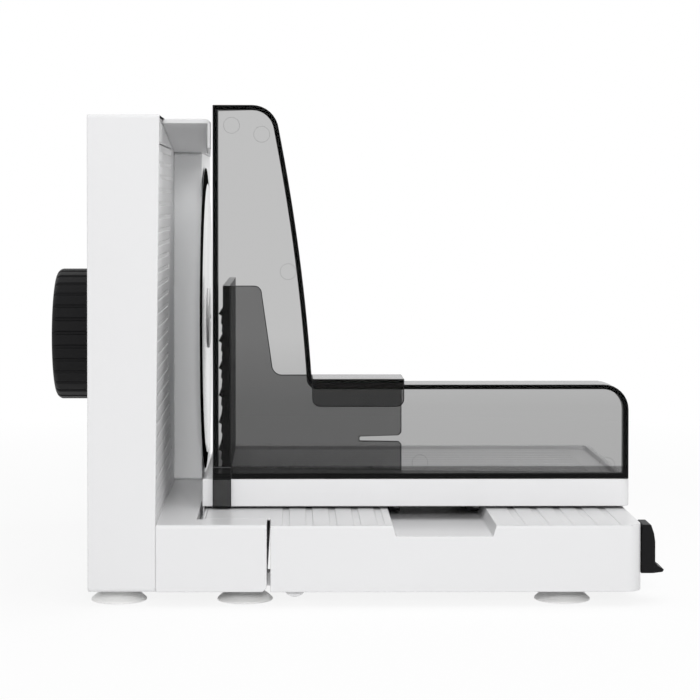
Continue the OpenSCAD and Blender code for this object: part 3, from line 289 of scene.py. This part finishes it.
# A moulding with its real edge rounding: the welded copy of a CAD solid, bevelled, with each
# corner that the bevel throws out drawn back to the solid. Flat faces are joined first, but
# not those of the underside, where one ring-shaped face would close the hollow inside it.
def rounded_moulding(node, material, radius=0.0005, segments=2, angle=28, smooth=True,
                     reshape=None):
    weld = 0.000002
    flat_angle = math.radians(0.5)
    facing_down = -0.99
    farthest_throw = 0.9 * radius
    mesh = frame["nodes"][node].data.copy()
    mesh.name = node + "_moulding"
    work = bmesh.new()
    work.from_mesh(mesh)
    bmesh.ops.remove_doubles(work, verts=work.verts, dist=weld)
    joinable = [edge for edge in work.edges
                if not all(face.normal.z < facing_down for face in edge.link_faces)]
    bmesh.ops.dissolve_limit(work, angle_limit=flat_angle, verts=[], edges=joinable)
    if reshape:
        reshape(work)
    work.to_mesh(mesh)
    solid = BVHTree.FromBMesh(work)
    work.free()
    mesh.materials.clear()
    mesh.materials.append(material)
    for face in mesh.polygons:
        face.use_smooth = smooth
        face.material_index = 0
    piece = bpy.data.objects.new(node + "_moulding", mesh)
    bpy.context.scene.collection.objects.link(piece)
    bevel = piece.modifiers.new("rounded_edges", "BEVEL")
    bevel.width = radius
    bevel.segments = segments
    bevel.limit_method = "ANGLE"
    bevel.angle_limit = math.radians(angle)
    bevel.use_clamp_overlap = False
    if smooth:
        even = piece.modifiers.new("even_faces", "WEIGHTED_NORMAL")
        even.keep_sharp = True
    plain = bpy.data.meshes.new_from_object(
        piece.evaluated_get(bpy.context.evaluated_depsgraph_get()))
    piece.modifiers.clear()
    piece.data = plain
    for vertex in plain.vertices:
        place, _, _, distance = solid.find_nearest(vertex.co)
        if distance > farthest_throw:
            vertex.co = place
    settle(piece, body_with(node), slot_of(node), node)
    return piece


def finish_node(name, material):
    node = frame["nodes"][name]
    node.data.materials.clear()
    node.data.materials.append(material)


white_plastic = moulded_plastic("white_plastic", (0.735, 0.735, 0.742), (0.755, 0.755, 0.762),
                                (0.79, 0.79, 0.79), rough=(0.26, 0.34), grain=0.1)
rounded_moulding("housing_shell", white_plastic, 0.0006, 3)

# Side panel: the white moulding that closes the column towards the food. It is screwed on from
# inside, and the stop plate travels in its window. It is paler and duller than the shell.
plate_plastic = moulded_plastic("plate_plastic", (0.92, 0.92, 0.925), (0.94, 0.94, 0.945),
                                (0.96, 0.96, 0.96), rough=(0.34, 0.44), grain=0.14)
rounded_moulding("side_panel", plate_plastic, 0.0004)

# Gear housing: a pale grey moulding behind the blade that carries the blade's bush. It is
# screwed to the side panel from inside and has a satin grain. Its colour is set paler than the
# shell's white, painted light for its shaded place behind the blade and under the hood.
grey_plastic = moulded_plastic("grey_plastic", (0.87, 0.875, 0.88), (0.9, 0.905, 0.91),
                               (0.92, 0.92, 0.925), rough=(0.36, 0.46), grain=0.16)
rounded_moulding("gear_housing", grey_plastic, 0.0005)

# Hood: the light grey cover over the blade's top, a moulding with a ramp on its underside,
# clipped into the gear housing and the column.
hood_plastic = moulded_plastic("hood_plastic", (0.71, 0.71, 0.715), (0.73, 0.73, 0.735),
                               (0.77, 0.77, 0.77), rough=(0.36, 0.46), grain=0.16)
rounded_moulding("top_hood", hood_plastic, 0.0006, 3)

# Base: the fixed foot of the machine beside the column, a white moulding open underneath,
# held to the column by two screws.
rounded_moulding("base_body", white_plastic, 0.0005, 3)


# Folding table: the white moulding that carries the tray's channel, hinged to the base on two
# pins and hollow underneath. The shallow grooves across its top run out towards the front.
def taper_grooves(work):
    front_reach = 0.006
    deepest_floor = 0.0012
    shallowest_floor = 0.0004
    front_depth = 0.0003
    top = max(vertex.co.z for vertex in work.verts)
    front = min(vertex.co.y for vertex in work.verts)
    for vertex in work.verts:
        on_floor = top - deepest_floor < vertex.co.z < top - shallowest_floor
        if vertex.co.y < front + front_reach and on_floor:
            vertex.co.z = top - front_depth


rounded_moulding("folding_table", white_plastic, 0.0004, reshape=taper_grooves)


# Hinge pins: two turned steel pins, pushed along the hinge's line through the base's lobes and
# the table's knuckles. The cutting tool leaves fine rings about the axis of a turned piece.
def turned_metal(name, colour, rough, centre, ring_scale, ring_depth, axis="X"):
    material = bpy.data.materials.new(name)
    material.use_nodes = True
    nodes, links = material.node_tree.nodes, material.node_tree.links
    shader = nodes["Principled BSDF"]
    shader.inputs["Metallic"].default_value = 1.0
    place = nodes.new("ShaderNodeTexCoord")
    shift = nodes.new("ShaderNodeMapping")
    shift.inputs["Location"].default_value = [-c for c in centre]
    links.new(place.outputs["Object"], shift.inputs["Vector"])
    split = nodes.new("ShaderNodeSeparateXYZ")
    links.new(shift.outputs[0], split.inputs[0])
    flat = nodes.new("ShaderNodeCombineXYZ")
    for label in "XYZ":
        if label != axis:
            links.new(split.outputs[label], flat.inputs[label])
    radius = nodes.new("ShaderNodeVectorMath")
    radius.operation = "LENGTH"
    links.new(flat.outputs[0], radius.inputs[0])
    ring = nodes.new("ShaderNodeTexNoise")
    ring.noise_dimensions = "1D"
    ring.inputs["Scale"].default_value = ring_scale
    ring.inputs["Detail"].default_value = 4.0
    links.new(radius.outputs["Value"], ring.inputs["W"])
    smudge = nodes.new("ShaderNodeTexNoise")
    smudge.inputs["Scale"].default_value = 22.0
    smudge.inputs["Detail"].default_value = 5.0
    links.new(place.outputs["Object"], smudge.inputs["Vector"])
    tone = tint_mix(nodes, links, ring.outputs[0], [c * 0.93 for c in colour], colour)
    links.new(tone.outputs[2], shader.inputs["Base Color"])
    level = nodes.new("ShaderNodeMapRange")
    level.inputs["From Min"].default_value = 0.35
    level.inputs["From Max"].default_value = 0.7
    level.inputs["To Min"].default_value = rough[0]
    level.inputs["To Max"].default_value = rough[1]
    links.new(smudge.outputs[0], level.inputs["Value"])
    links.new(level.outputs["Result"], shader.inputs["Roughness"])
    bump = nodes.new("ShaderNodeBump")
    bump.inputs["Strength"].default_value = ring_depth
    bump.inputs["Distance"].default_value = 0.0001
    links.new(ring.outputs[0], bump.inputs["Height"])
    links.new(bump.outputs["Normal"], shader.inputs["Normal"])
    return material


def middle(node):
    low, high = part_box(node)
    return (Vector(low) + Vector(high)) / 2


def turned_node(node, colour, rough=(0.2, 0.34), axis="X", ring_scale=700, ring_depth=0.2):
    finish_node(node, turned_metal(node + "_metal", colour, rough, middle(node), ring_scale,
                                   ring_depth, axis))


steel = (0.6, 0.61, 0.62)
turned_node("hinge_pins", steel, axis="Y")

# Suction feet: soft milky vinyl cups pressed into the underside of the base, three in front
# and three behind. Their pale colour is set paler still, painted light for the shade under
# the base.
foot_vinyl_painted_light = moulded_plastic("foot_vinyl_painted_light", (0.94, 0.94, 0.93), (0.97, 0.97, 0.96),
                             (0.98, 0.98, 0.97), rough=(0.28, 0.4), clear=0.1)
rounded_moulding("suction_feet", foot_vinyl_painted_light, 0.0003)

# Base screws: two zinc plated screws, driven from the hollow of the base, that draw it against
# the column. Plated pieces are duller and have wider rings than turned steel.
zinc = (0.66, 0.67, 0.68)
dull = (0.28, 0.42)
wide_rings = 500
turned_node("base_screws", zinc, dull, ring_scale=wide_rings)

# Cord gland: a grommet of black nylon, pressed into the hole for the mains lead in the back
# wall of the column.
dark_nylon = moulded_plastic("dark_nylon", (0.03, 0.03, 0.032), (0.05, 0.05, 0.052),
                             (0.1, 0.1, 0.1), rough=(0.4, 0.5))
rounded_moulding("cord_gland", dark_nylon, 0.0003)

# Switch keys: a thin black rim in the column with two sprung keys in it, the power key in
# black and the safety key in grey, each on a coil spring over its microswitch.
black_plastic = moulded_plastic("black_plastic", (0.005, 0.005, 0.0055), (0.009, 0.009, 0.0095),
                                (0.022, 0.022, 0.023), rough=(0.4, 0.52), grain=0.22,
                                specular=0.12)
key_grey = moulded_plastic("key_grey", (0.30, 0.31, 0.32), (0.34, 0.35, 0.36), (0.4, 0.4, 0.4))
rounded_moulding("switch_bezel", dark_nylon, 0.00015)
rounded_moulding("power_button", black_plastic, 0.0004)
rounded_moulding("safety_button", key_grey, 0.0004)
finish_node("microswitches", dark_nylon)


# Coil springs: wound from hard drawn steel wire, one under each key and one on the latch's
# pin. A node tree sweeps the wire's round section along a spiral.
def input_id(tree, label):
    return next(item.identifier for item in tree.interface.items_tree
                if item.item_type == "SOCKET" and item.in_out == "INPUT" and item.name == label)


def coil_tree(name, material):
    tree = bpy.data.node_groups.new(name, "GeometryNodeTree")
    for label, value in (("Turns", 6.0), ("Coil Radius", 0.003), ("Height", 0.01),
                         ("Wire Radius", 0.0003)):
        socket = tree.interface.new_socket(label, in_out="INPUT", socket_type="NodeSocketFloat")
        socket.default_value = value
    tree.interface.new_socket("Geometry", in_out="OUTPUT", socket_type="NodeSocketGeometry")
    nodes, links = tree.nodes, tree.links
    source = nodes.new("NodeGroupInput")
    spiral = nodes.new("GeometryNodeCurveSpiral")
    spiral.inputs["Resolution"].default_value = 28
    links.new(source.outputs["Turns"], spiral.inputs["Rotations"])
    links.new(source.outputs["Coil Radius"], spiral.inputs["Start Radius"])
    links.new(source.outputs["Coil Radius"], spiral.inputs["End Radius"])
    links.new(source.outputs["Height"], spiral.inputs["Height"])
    wire = nodes.new("GeometryNodeCurvePrimitiveCircle")
    wire.inputs["Resolution"].default_value = 10
    links.new(source.outputs["Wire Radius"], wire.inputs["Radius"])
    sweep = nodes.new("GeometryNodeCurveToMesh")
    sweep.inputs["Fill Caps"].default_value = True
    links.new(spiral.outputs[0], sweep.inputs["Curve"])
    links.new(wire.outputs[0], sweep.inputs["Profile Curve"])
    smooth = nodes.new("GeometryNodeSetShadeSmooth")
    links.new(sweep.outputs[0], smooth.inputs["Geometry"])
    real = nodes.new("GeometryNodeRealizeInstances")
    links.new(smooth.outputs[0], real.inputs[0])
    paint = nodes.new("GeometryNodeSetMaterial")
    paint.inputs["Material"].default_value = material
    links.new(real.outputs[0], paint.inputs["Geometry"])
    sink = nodes.new("NodeGroupOutput")
    links.new(paint.outputs[0], sink.inputs[0])
    return tree


def grown(name, tree, values, turn, place, points=()):
    seed = bpy.data.meshes.new(name)
    seed.from_pydata(points, [], [])
    piece = bpy.data.objects.new(name, seed)
    bpy.context.scene.collection.objects.link(piece)
    growth = piece.modifiers.new(name, "NODES")
    growth.node_group = tree
    for label, value in values.items():
        growth[input_id(tree, label)] = value
    mesh = bpy.data.meshes.new_from_object(
        piece.evaluated_get(bpy.context.evaluated_depsgraph_get()))
    piece.modifiers.clear()
    piece.data = mesh
    mesh.transform(turn)
    mesh.transform(Matrix.Translation(place))
    work = bmesh.new()
    work.from_mesh(mesh)
    bmesh.ops.recalc_face_normals(work, faces=work.faces)
    work.to_mesh(mesh)
    work.free()
    return piece


spring_wire = (0.5, 0.5, 0.52)
spring_steel = turned_metal("spring_steel", spring_wire, dull, middle("power_spring"),
                            wide_rings, ring_depth=0.2)
spring_tree = coil_tree("coil_spring", spring_steel)


def coil_spring(node, axis, turns, wire):
    low, high = (Vector(corner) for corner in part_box(node))
    along = "XYZ".index(axis)
    across = (along + 1) % 3
    reach = (high[across] - low[across]) / 2 - wire
    length = high[along] - low[along] - 2 * wire
    start = (low + high) / 2
    start[along] = low[along] + wire
    turn = Vector((0, 0, 1)).rotation_difference(Vector([axis == c for c in "XYZ"]))
    piece = grown(node + "_coil", spring_tree,
                  {"Turns": turns, "Coil Radius": reach, "Height": length,
                   "Wire Radius": wire}, turn.to_matrix().to_4x4(), start)
    settle(piece, body_with(node), slot_of(node), node)


coil_spring("power_spring", "Y", turns=5.0, wire=0.0003)
coil_spring("safety_spring", "Y", turns=5.0, wire=0.0003)

# Blade: a hollow ground disc of polished stainless steel with fine grinding rings about its
# centre, held on its shaft by a quarter-turn lock of light grey plastic. The bevel round its
# cutting edge is painted near black, a painted reflection of the dark round it and painted
# shade of the gap beside it, where it shows against the white column.
blade_steel = turned_metal("blade_steel", (0.62, 0.625, 0.63), (0.2, 0.3), middle("blade"),
                           ring_scale=900, ring_depth=0.08)
blade_edge_painted_dark = moulded_plastic("blade_edge_painted_dark", (0.004, 0.004, 0.004), (0.008, 0.008, 0.008),
                              (0.012, 0.012, 0.012), rough=(0.5, 0.6), specular=0.0)
disc = rounded_moulding("blade", blade_steel, 0.00005, 1, smooth=False)
disc.data.materials.append(blade_edge_painted_dark)
disc_middle = middle("blade")
bevel_from = 0.06
steepest = 0.3
flattest = 0.99999
# The faces of the edge bevel take the painted dark.
for face in disc.data.polygons:
    out = face.center - disc_middle
    if steepest < face.normal.x < flattest and math.hypot(out.y, out.z) > bevel_from:
        face.material_index = 1
turned_node("blade_shaft", steel)
gear_nylon = moulded_plastic("gear_nylon", (0.78, 0.75, 0.66), (0.82, 0.79, 0.7),
                             (0.86, 0.84, 0.78), rough=(0.4, 0.5))
finish_node("blade_gear", gear_nylon)
# The lock's light grey is set lighter still, painted light for the shade it sits in by the wall.
lock_plastic = moulded_plastic("lock_plastic", (0.82, 0.82, 0.82), (0.86, 0.86, 0.86),
                               (0.88, 0.88, 0.88))
lock = rounded_moulding("blade_lock", lock_plastic, 0.0004)
lock_rim = max(vertex.co.x for vertex in disc.data.vertices) + 0.0008
lock_relief = 0.25
for vertex in lock.data.vertices:
    if vertex.co.x > lock_rim:
        vertex.co.x = lock_rim + lock_relief * (vertex.co.x - lock_rim)

# Bushes: sintered bronze bushes for the blade's shaft, pressed into the gear housing and the
# column's inner wall.
bronze = (0.6, 0.45, 0.25)
turned_node("blade_bearing", bronze, dull, ring_scale=wide_rings)
turned_node("rear_bearing", bronze, dull, ring_scale=wide_rings)

# Gear train: a nylon idler on a steel axle between the blade's gear and the motor's brass
# pinion, and the motor in its zinc plated bracket with three screws.
motor_steel = (0.45, 0.46, 0.48)
brass = (0.72, 0.58, 0.3)
finish_node("idler_gear", gear_nylon)
turned_node("idler_axle", steel)
turned_node("motor", motor_steel, dull, ring_scale=wide_rings)
turned_node("motor_pinion", brass, dull, ring_scale=wide_rings)
turned_node("motor_bracket", zinc, dull, ring_scale=wide_rings)
turned_node("motor_screws", zinc, dull, ring_scale=wide_rings)

# Stop plate: the ribbed white plate that the food slides along. Its rods run in the column,
# and a twisted nylon bar moves it when the knob turns. The valleys between its ribs are shallow.
plate = rounded_moulding("stop_plate", plate_plastic, 0.0003)
plate_face = max(vertex.co.x for vertex in plate.data.vertices)
deepest_valley = plate_face - 0.0009
valley = plate_face - 0.0003
for vertex in plate.data.vertices:
    if deepest_valley < vertex.co.x < valley:
        vertex.co.x = valley
turned_node("guide_rods", steel)
finish_node("spindle", gear_nylon)
finish_node("spindle_nut", dark_nylon)

# Setting knob: a black plastic moulding with broad grip ribs, clipped over its nut at the
# column's side. Its ribs meet the grooves at a low angle, so the rounding starts earlier.
rounded_moulding("thickness_knob", black_plastic, 0.0003, angle=20)

# Carriage tray: the white tray that carries the food past the blade, moulded with ridges in
# its floor and running on two grey low-friction runners that are screwed on underneath. The
# runners' front ends slope back, and the tray's underside is painted dark, painted shade for
# the deep shade under the tray.
tray_plastic = moulded_plastic("tray_plastic", (0.79, 0.79, 0.797), (0.805, 0.805, 0.812),
                               (0.83, 0.83, 0.83), rough=(0.26, 0.34), grain=0.1)
tray = rounded_moulding("carriage_tray", tray_plastic, 0.0005, 3)
tray.data.materials.append(dark_nylon)
painted_shade_facing = -0.9
# Faces that look down take the dark nylon as painted shade.
for face in tray.data.polygons:
    if face.normal.z < painted_shade_facing:
        face.material_index = 1
runner_grey = moulded_plastic("runner_grey", (0.09, 0.09, 0.095), (0.12, 0.12, 0.125),
                              (0.16, 0.16, 0.165), rough=(0.3, 0.42))
runners = rounded_moulding("carriage_runners", runner_grey, 0.0003)
runner_end = min(vertex.co.y for vertex in runners.data.vertices) + 0.001
runner_top = max(vertex.co.z for vertex in runners.data.vertices)
straight_part = 0.002
end_slope = 1.6
for vertex in runners.data.vertices:
    below = runner_top - vertex.co.z
    if vertex.co.y < runner_end and below > straight_part:
        vertex.co.y += end_slope * below


# Carriage wall: a clear moulding with a grey dye that stands on the tray's front edge. It
# darkens with its thickness, so that its flanges look black. Each tint gives the height where
# it begins, the height where it is full, and its shade; the lamps reach the tray through it.
def smoked_clear(name, density, tints):
    material = bpy.data.materials.new(name)
    material.use_nodes = True
    nodes, links = material.node_tree.nodes, material.node_tree.links
    shader = nodes["Principled BSDF"]
    shader.inputs["Base Color"].default_value = (1, 1, 1, 1)
    shader.inputs["Transmission Weight"].default_value = 1.0
    shader.inputs["IOR"].default_value = 1.22
    place = nodes.new("ShaderNodeTexCoord")
    cloud = nodes.new("ShaderNodeTexNoise")
    cloud.inputs["Scale"].default_value = 30.0
    cloud.inputs["Detail"].default_value = 5.0
    links.new(place.outputs["Object"], cloud.inputs["Vector"])
    level = nodes.new("ShaderNodeMapRange")
    level.inputs["From Min"].default_value = 0.4
    level.inputs["From Max"].default_value = 0.75
    level.inputs["To Min"].default_value = 0.004
    level.inputs["To Max"].default_value = 0.03
    links.new(cloud.outputs[0], level.inputs["Value"])
    links.new(level.outputs["Result"], shader.inputs["Roughness"])
    dye = nodes.new("ShaderNodeVolumeAbsorption")
    dye.inputs["Color"].default_value = (0, 0, 0, 1)
    dye.inputs["Density"].default_value = density
    out = nodes["Material Output"]
    links.new(dye.outputs[0], out.inputs["Volume"])
    height = nodes.new("ShaderNodeSeparateXYZ")
    links.new(place.outputs["Object"], height.inputs[0])
    tone = None
    for top, bottom, shade in tints:
        fall = nodes.new("ShaderNodeMapRange")
        fall.inputs["From Min"].default_value = top
        fall.inputs["From Max"].default_value = bottom
        links.new(height.outputs["Z"], fall.inputs["Value"])
        layer = tint_mix(nodes, links, fall.outputs["Result"], (1, 1, 1), (shade, shade, shade))
        if tone:
            links.new(tone.outputs[2], layer.inputs[6])
        tone = layer
    links.new(tone.outputs[2], shader.inputs["Base Color"])
    passing = nodes.new("ShaderNodeBsdfTransparent")
    passing.inputs["Color"].default_value = (0.85, 0.85, 0.85, 1)
    shadow = nodes.new("ShaderNodeMixShader")
    links.new(nodes.new("ShaderNodeLightPath").outputs["Is Shadow Ray"], shadow.inputs[0])
    links.new(shader.outputs[0], shadow.inputs[1])
    links.new(passing.outputs[0], shadow.inputs[2])
    links.new(shadow.outputs[0], out.inputs["Surface"])
    return material


# Painted highlight for the dyed rims that face up.
rim_painted_highlight = moulded_plastic("rim_painted_highlight", (0.2, 0.2, 0.205), (0.23, 0.23, 0.235),
                            (0.02, 0.02, 0.021), rough=(0.2, 0.3), grain=0.0)


# The cut and moulded rims of a dyed sheet hold the light inside, so they are painted dark,
# and those that face up are painted paler, a painted highlight for the light from above.
def darken_rims(piece, rim):
    sheet_facing = 0.9
    rim_facing = 0.97
    top_facing = 0.95
    behind = 0.0005
    faces = piece.data.polygons
    piece.data.materials.append(rim)
    piece.data.materials.append(rim_painted_highlight)
    sheets = (face for face in faces if face.normal.y > sheet_facing)
    sheet = max(sheets, key=lambda face: face.area)
    for face in faces:
        if abs(face.normal.y) < rim_facing or face.center.y > sheet.center.y + behind:
            face.material_index = 2 if face.normal.z > top_facing else 1


# The flange round the wall is deep behind the pusher's grip, and shallow at the far end and
# round the tall part. The tall part's right edge is bowed between its rounded corner and its
# foot, and leans out quickest just below the corner.
def shape_wall(work):
    corner = 0.0125
    bowed_length = 0.126
    bands = 16
    bowed_from, bowed_to = 0.012, 0.053
    foot_overlap = 0.004
    lean = 0.002
    bow = 0.0083
    flange_from = 0.015
    flange_cut = 0.0165
    end_ramp = 0.0125
    tall_from, tall_above = 0.003, 0.001
    tall_share = 0.7
    left = min(vertex.co.x for vertex in work.verts)
    head = max(vertex.co.z for vertex in work.verts) - corner
    foot = head - bowed_length
    for band in range(1, bands):
        height = foot + (head - foot) * band / bands
        bmesh.ops.bisect_plane(work, geom=work.verts[:] + work.edges[:] + work.faces[:],
                               plane_co=(0, 0, height), plane_no=(0, 0, 1))
    for vertex in work.verts:
        down = min(1.0, (head - vertex.co.z) / (head - foot))
        at_edge = left + bowed_from < vertex.co.x < left + bowed_to
        if at_edge and down > 0 and vertex.co.z > foot - foot_overlap:
            vertex.co.x += lean * down + bow * down * (1 - down)
    right = max(vertex.co.x for vertex in work.verts)
    front = min(vertex.co.y for vertex in work.verts)
    for vertex in work.verts:
        if vertex.co.y > front + flange_from:
            share = min(1.0, max(0.0, (vertex.co.x - right + end_ramp) / end_ramp))
            if vertex.co.z > foot + tall_above and vertex.co.x > left + tall_from:
                share = tall_share
            vertex.co.y -= flange_cut * share


rim_smoke = moulded_plastic("rim_smoke", (0.008, 0.008, 0.0085), (0.012, 0.012, 0.0125),
                            (0.02, 0.02, 0.021), rough=(0.3, 0.4), grain=0.0, specular=0.25)
wall_smoke = smoked_clear("wall_smoke", density=270.0,
                          tints=[(0.125, 0.09, 0.8), (0.0607, 0.0599, 0.35)])
wall = rounded_moulding("carriage_wall", wall_smoke, 0.0003, smooth=False, reshape=shape_wall)
darken_rims(wall, rim_smoke)


# Ejector marks: faint rings that the round pins of the mould leave on the wall when they push
# it out. A node tree sets a thin ring at each pin's place.
def ring_tree(name, material):
    tree = bpy.data.node_groups.new(name, "GeometryNodeTree")
    tree.interface.new_socket("Geometry", in_out="INPUT", socket_type="NodeSocketGeometry")
    for label, value in (("Ring Radius", 0.004), ("Line Radius", 0.00004)):
        socket = tree.interface.new_socket(label, in_out="INPUT", socket_type="NodeSocketFloat")
        socket.default_value = value
    tree.interface.new_socket("Geometry", in_out="OUTPUT", socket_type="NodeSocketGeometry")
    nodes, links = tree.nodes, tree.links
    source = nodes.new("NodeGroupInput")
    ring = nodes.new("GeometryNodeCurvePrimitiveCircle")
    ring.inputs["Resolution"].default_value = 48
    links.new(source.outputs["Ring Radius"], ring.inputs["Radius"])
    line = nodes.new("GeometryNodeCurvePrimitiveCircle")
    line.inputs["Resolution"].default_value = 6
    links.new(source.outputs["Line Radius"], line.inputs["Radius"])
    sweep = nodes.new("GeometryNodeCurveToMesh")
    links.new(ring.outputs[0], sweep.inputs["Curve"])
    links.new(line.outputs[0], sweep.inputs["Profile Curve"])
    points = nodes.new("GeometryNodeMeshToPoints")
    links.new(source.outputs["Geometry"], points.inputs[0])
    spread = nodes.new("GeometryNodeInstanceOnPoints")
    spread.inputs["Rotation"].default_value = (math.radians(90), 0, 0)
    links.new(points.outputs[0], spread.inputs["Points"])
    links.new(sweep.outputs[0], spread.inputs["Instance"])
    real = nodes.new("GeometryNodeRealizeInstances")
    links.new(spread.outputs[0], real.inputs[0])
    paint = nodes.new("GeometryNodeSetMaterial")
    paint.inputs["Material"].default_value = material
    links.new(real.outputs[0], paint.inputs["Geometry"])
    sink = nodes.new("NodeGroupOutput")
    links.new(paint.outputs[0], sink.inputs[0])
    return tree


pins = [(-0.0607, 0, 0.2312), (-0.0456, 0, 0.2267), (-0.0324, 0, 0.1579), (0.0338, 0, 0.0619),
        (0.1278, 0, 0.0604)]
marks_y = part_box("carriage_wall")[0][1] + 0.0049
marks = grown("ejector_marks", ring_tree("ejector_ring", rim_smoke),
              {"Ring Radius": 0.004, "Line Radius": 0.00004}, Matrix.Identity(4),
              (0, marks_y, 0), pins)
settle(marks, "carriage", slot_of("carriage_wall"))

# Pusher: a grey dyed clear moulding with a folded foot, a notch at its end and a grip that
# laps over the wall, and the black toothed press plate that is clipped to its end. The plate's
# side towards the grip and its top edge are painted paler, a painted highlight for the light
# they catch.
pusher_smoke = smoked_clear("pusher_smoke", density=520.0, tints=[(0.125, 0.09, 0.96)])
pusher = rounded_moulding("pusher_body", pusher_smoke, 0.0004, smooth=False)
darken_rims(pusher, rim_smoke)
press_black = moulded_plastic("press_black", (0.001, 0.001, 0.001), (0.002, 0.002, 0.002),
                              (0.006, 0.006, 0.006), rough=(0.4, 0.5), specular=0.0)
press_side_painted_light = moulded_plastic("press_side_painted_light", (0.035, 0.035, 0.036), (0.045, 0.045, 0.046),
                             (0.07, 0.07, 0.07), rough=(0.4, 0.5), specular=0.1)
press_top_painted_light = moulded_plastic("press_top_painted_light", (0.4, 0.4, 0.405), (0.45, 0.45, 0.455),
                            (0.3, 0.3, 0.3), rough=(0.4, 0.5))
press = rounded_moulding("press_plate", press_black, 0.0002)
press.data.materials.append(press_side_painted_light)
press.data.materials.append(press_top_painted_light)
# Painted highlight: the top faces and the side towards the grip take the paler copies.
facing = 0.9
for face in press.data.polygons:
    if face.normal.z > facing:
        face.material_index = 2
    elif face.normal.x > facing:
        face.material_index = 1

# Fold latch: a hook of black plastic on a steel pin at the table's end, with a coil spring
# round the pin that keeps it shut.
rounded_moulding("fold_latch", black_plastic, 0.0004)
turned_node("latch_pin", steel, axis="Y")
coil_spring("latch_spring", "Y", turns=5.0, wire=0.0002)
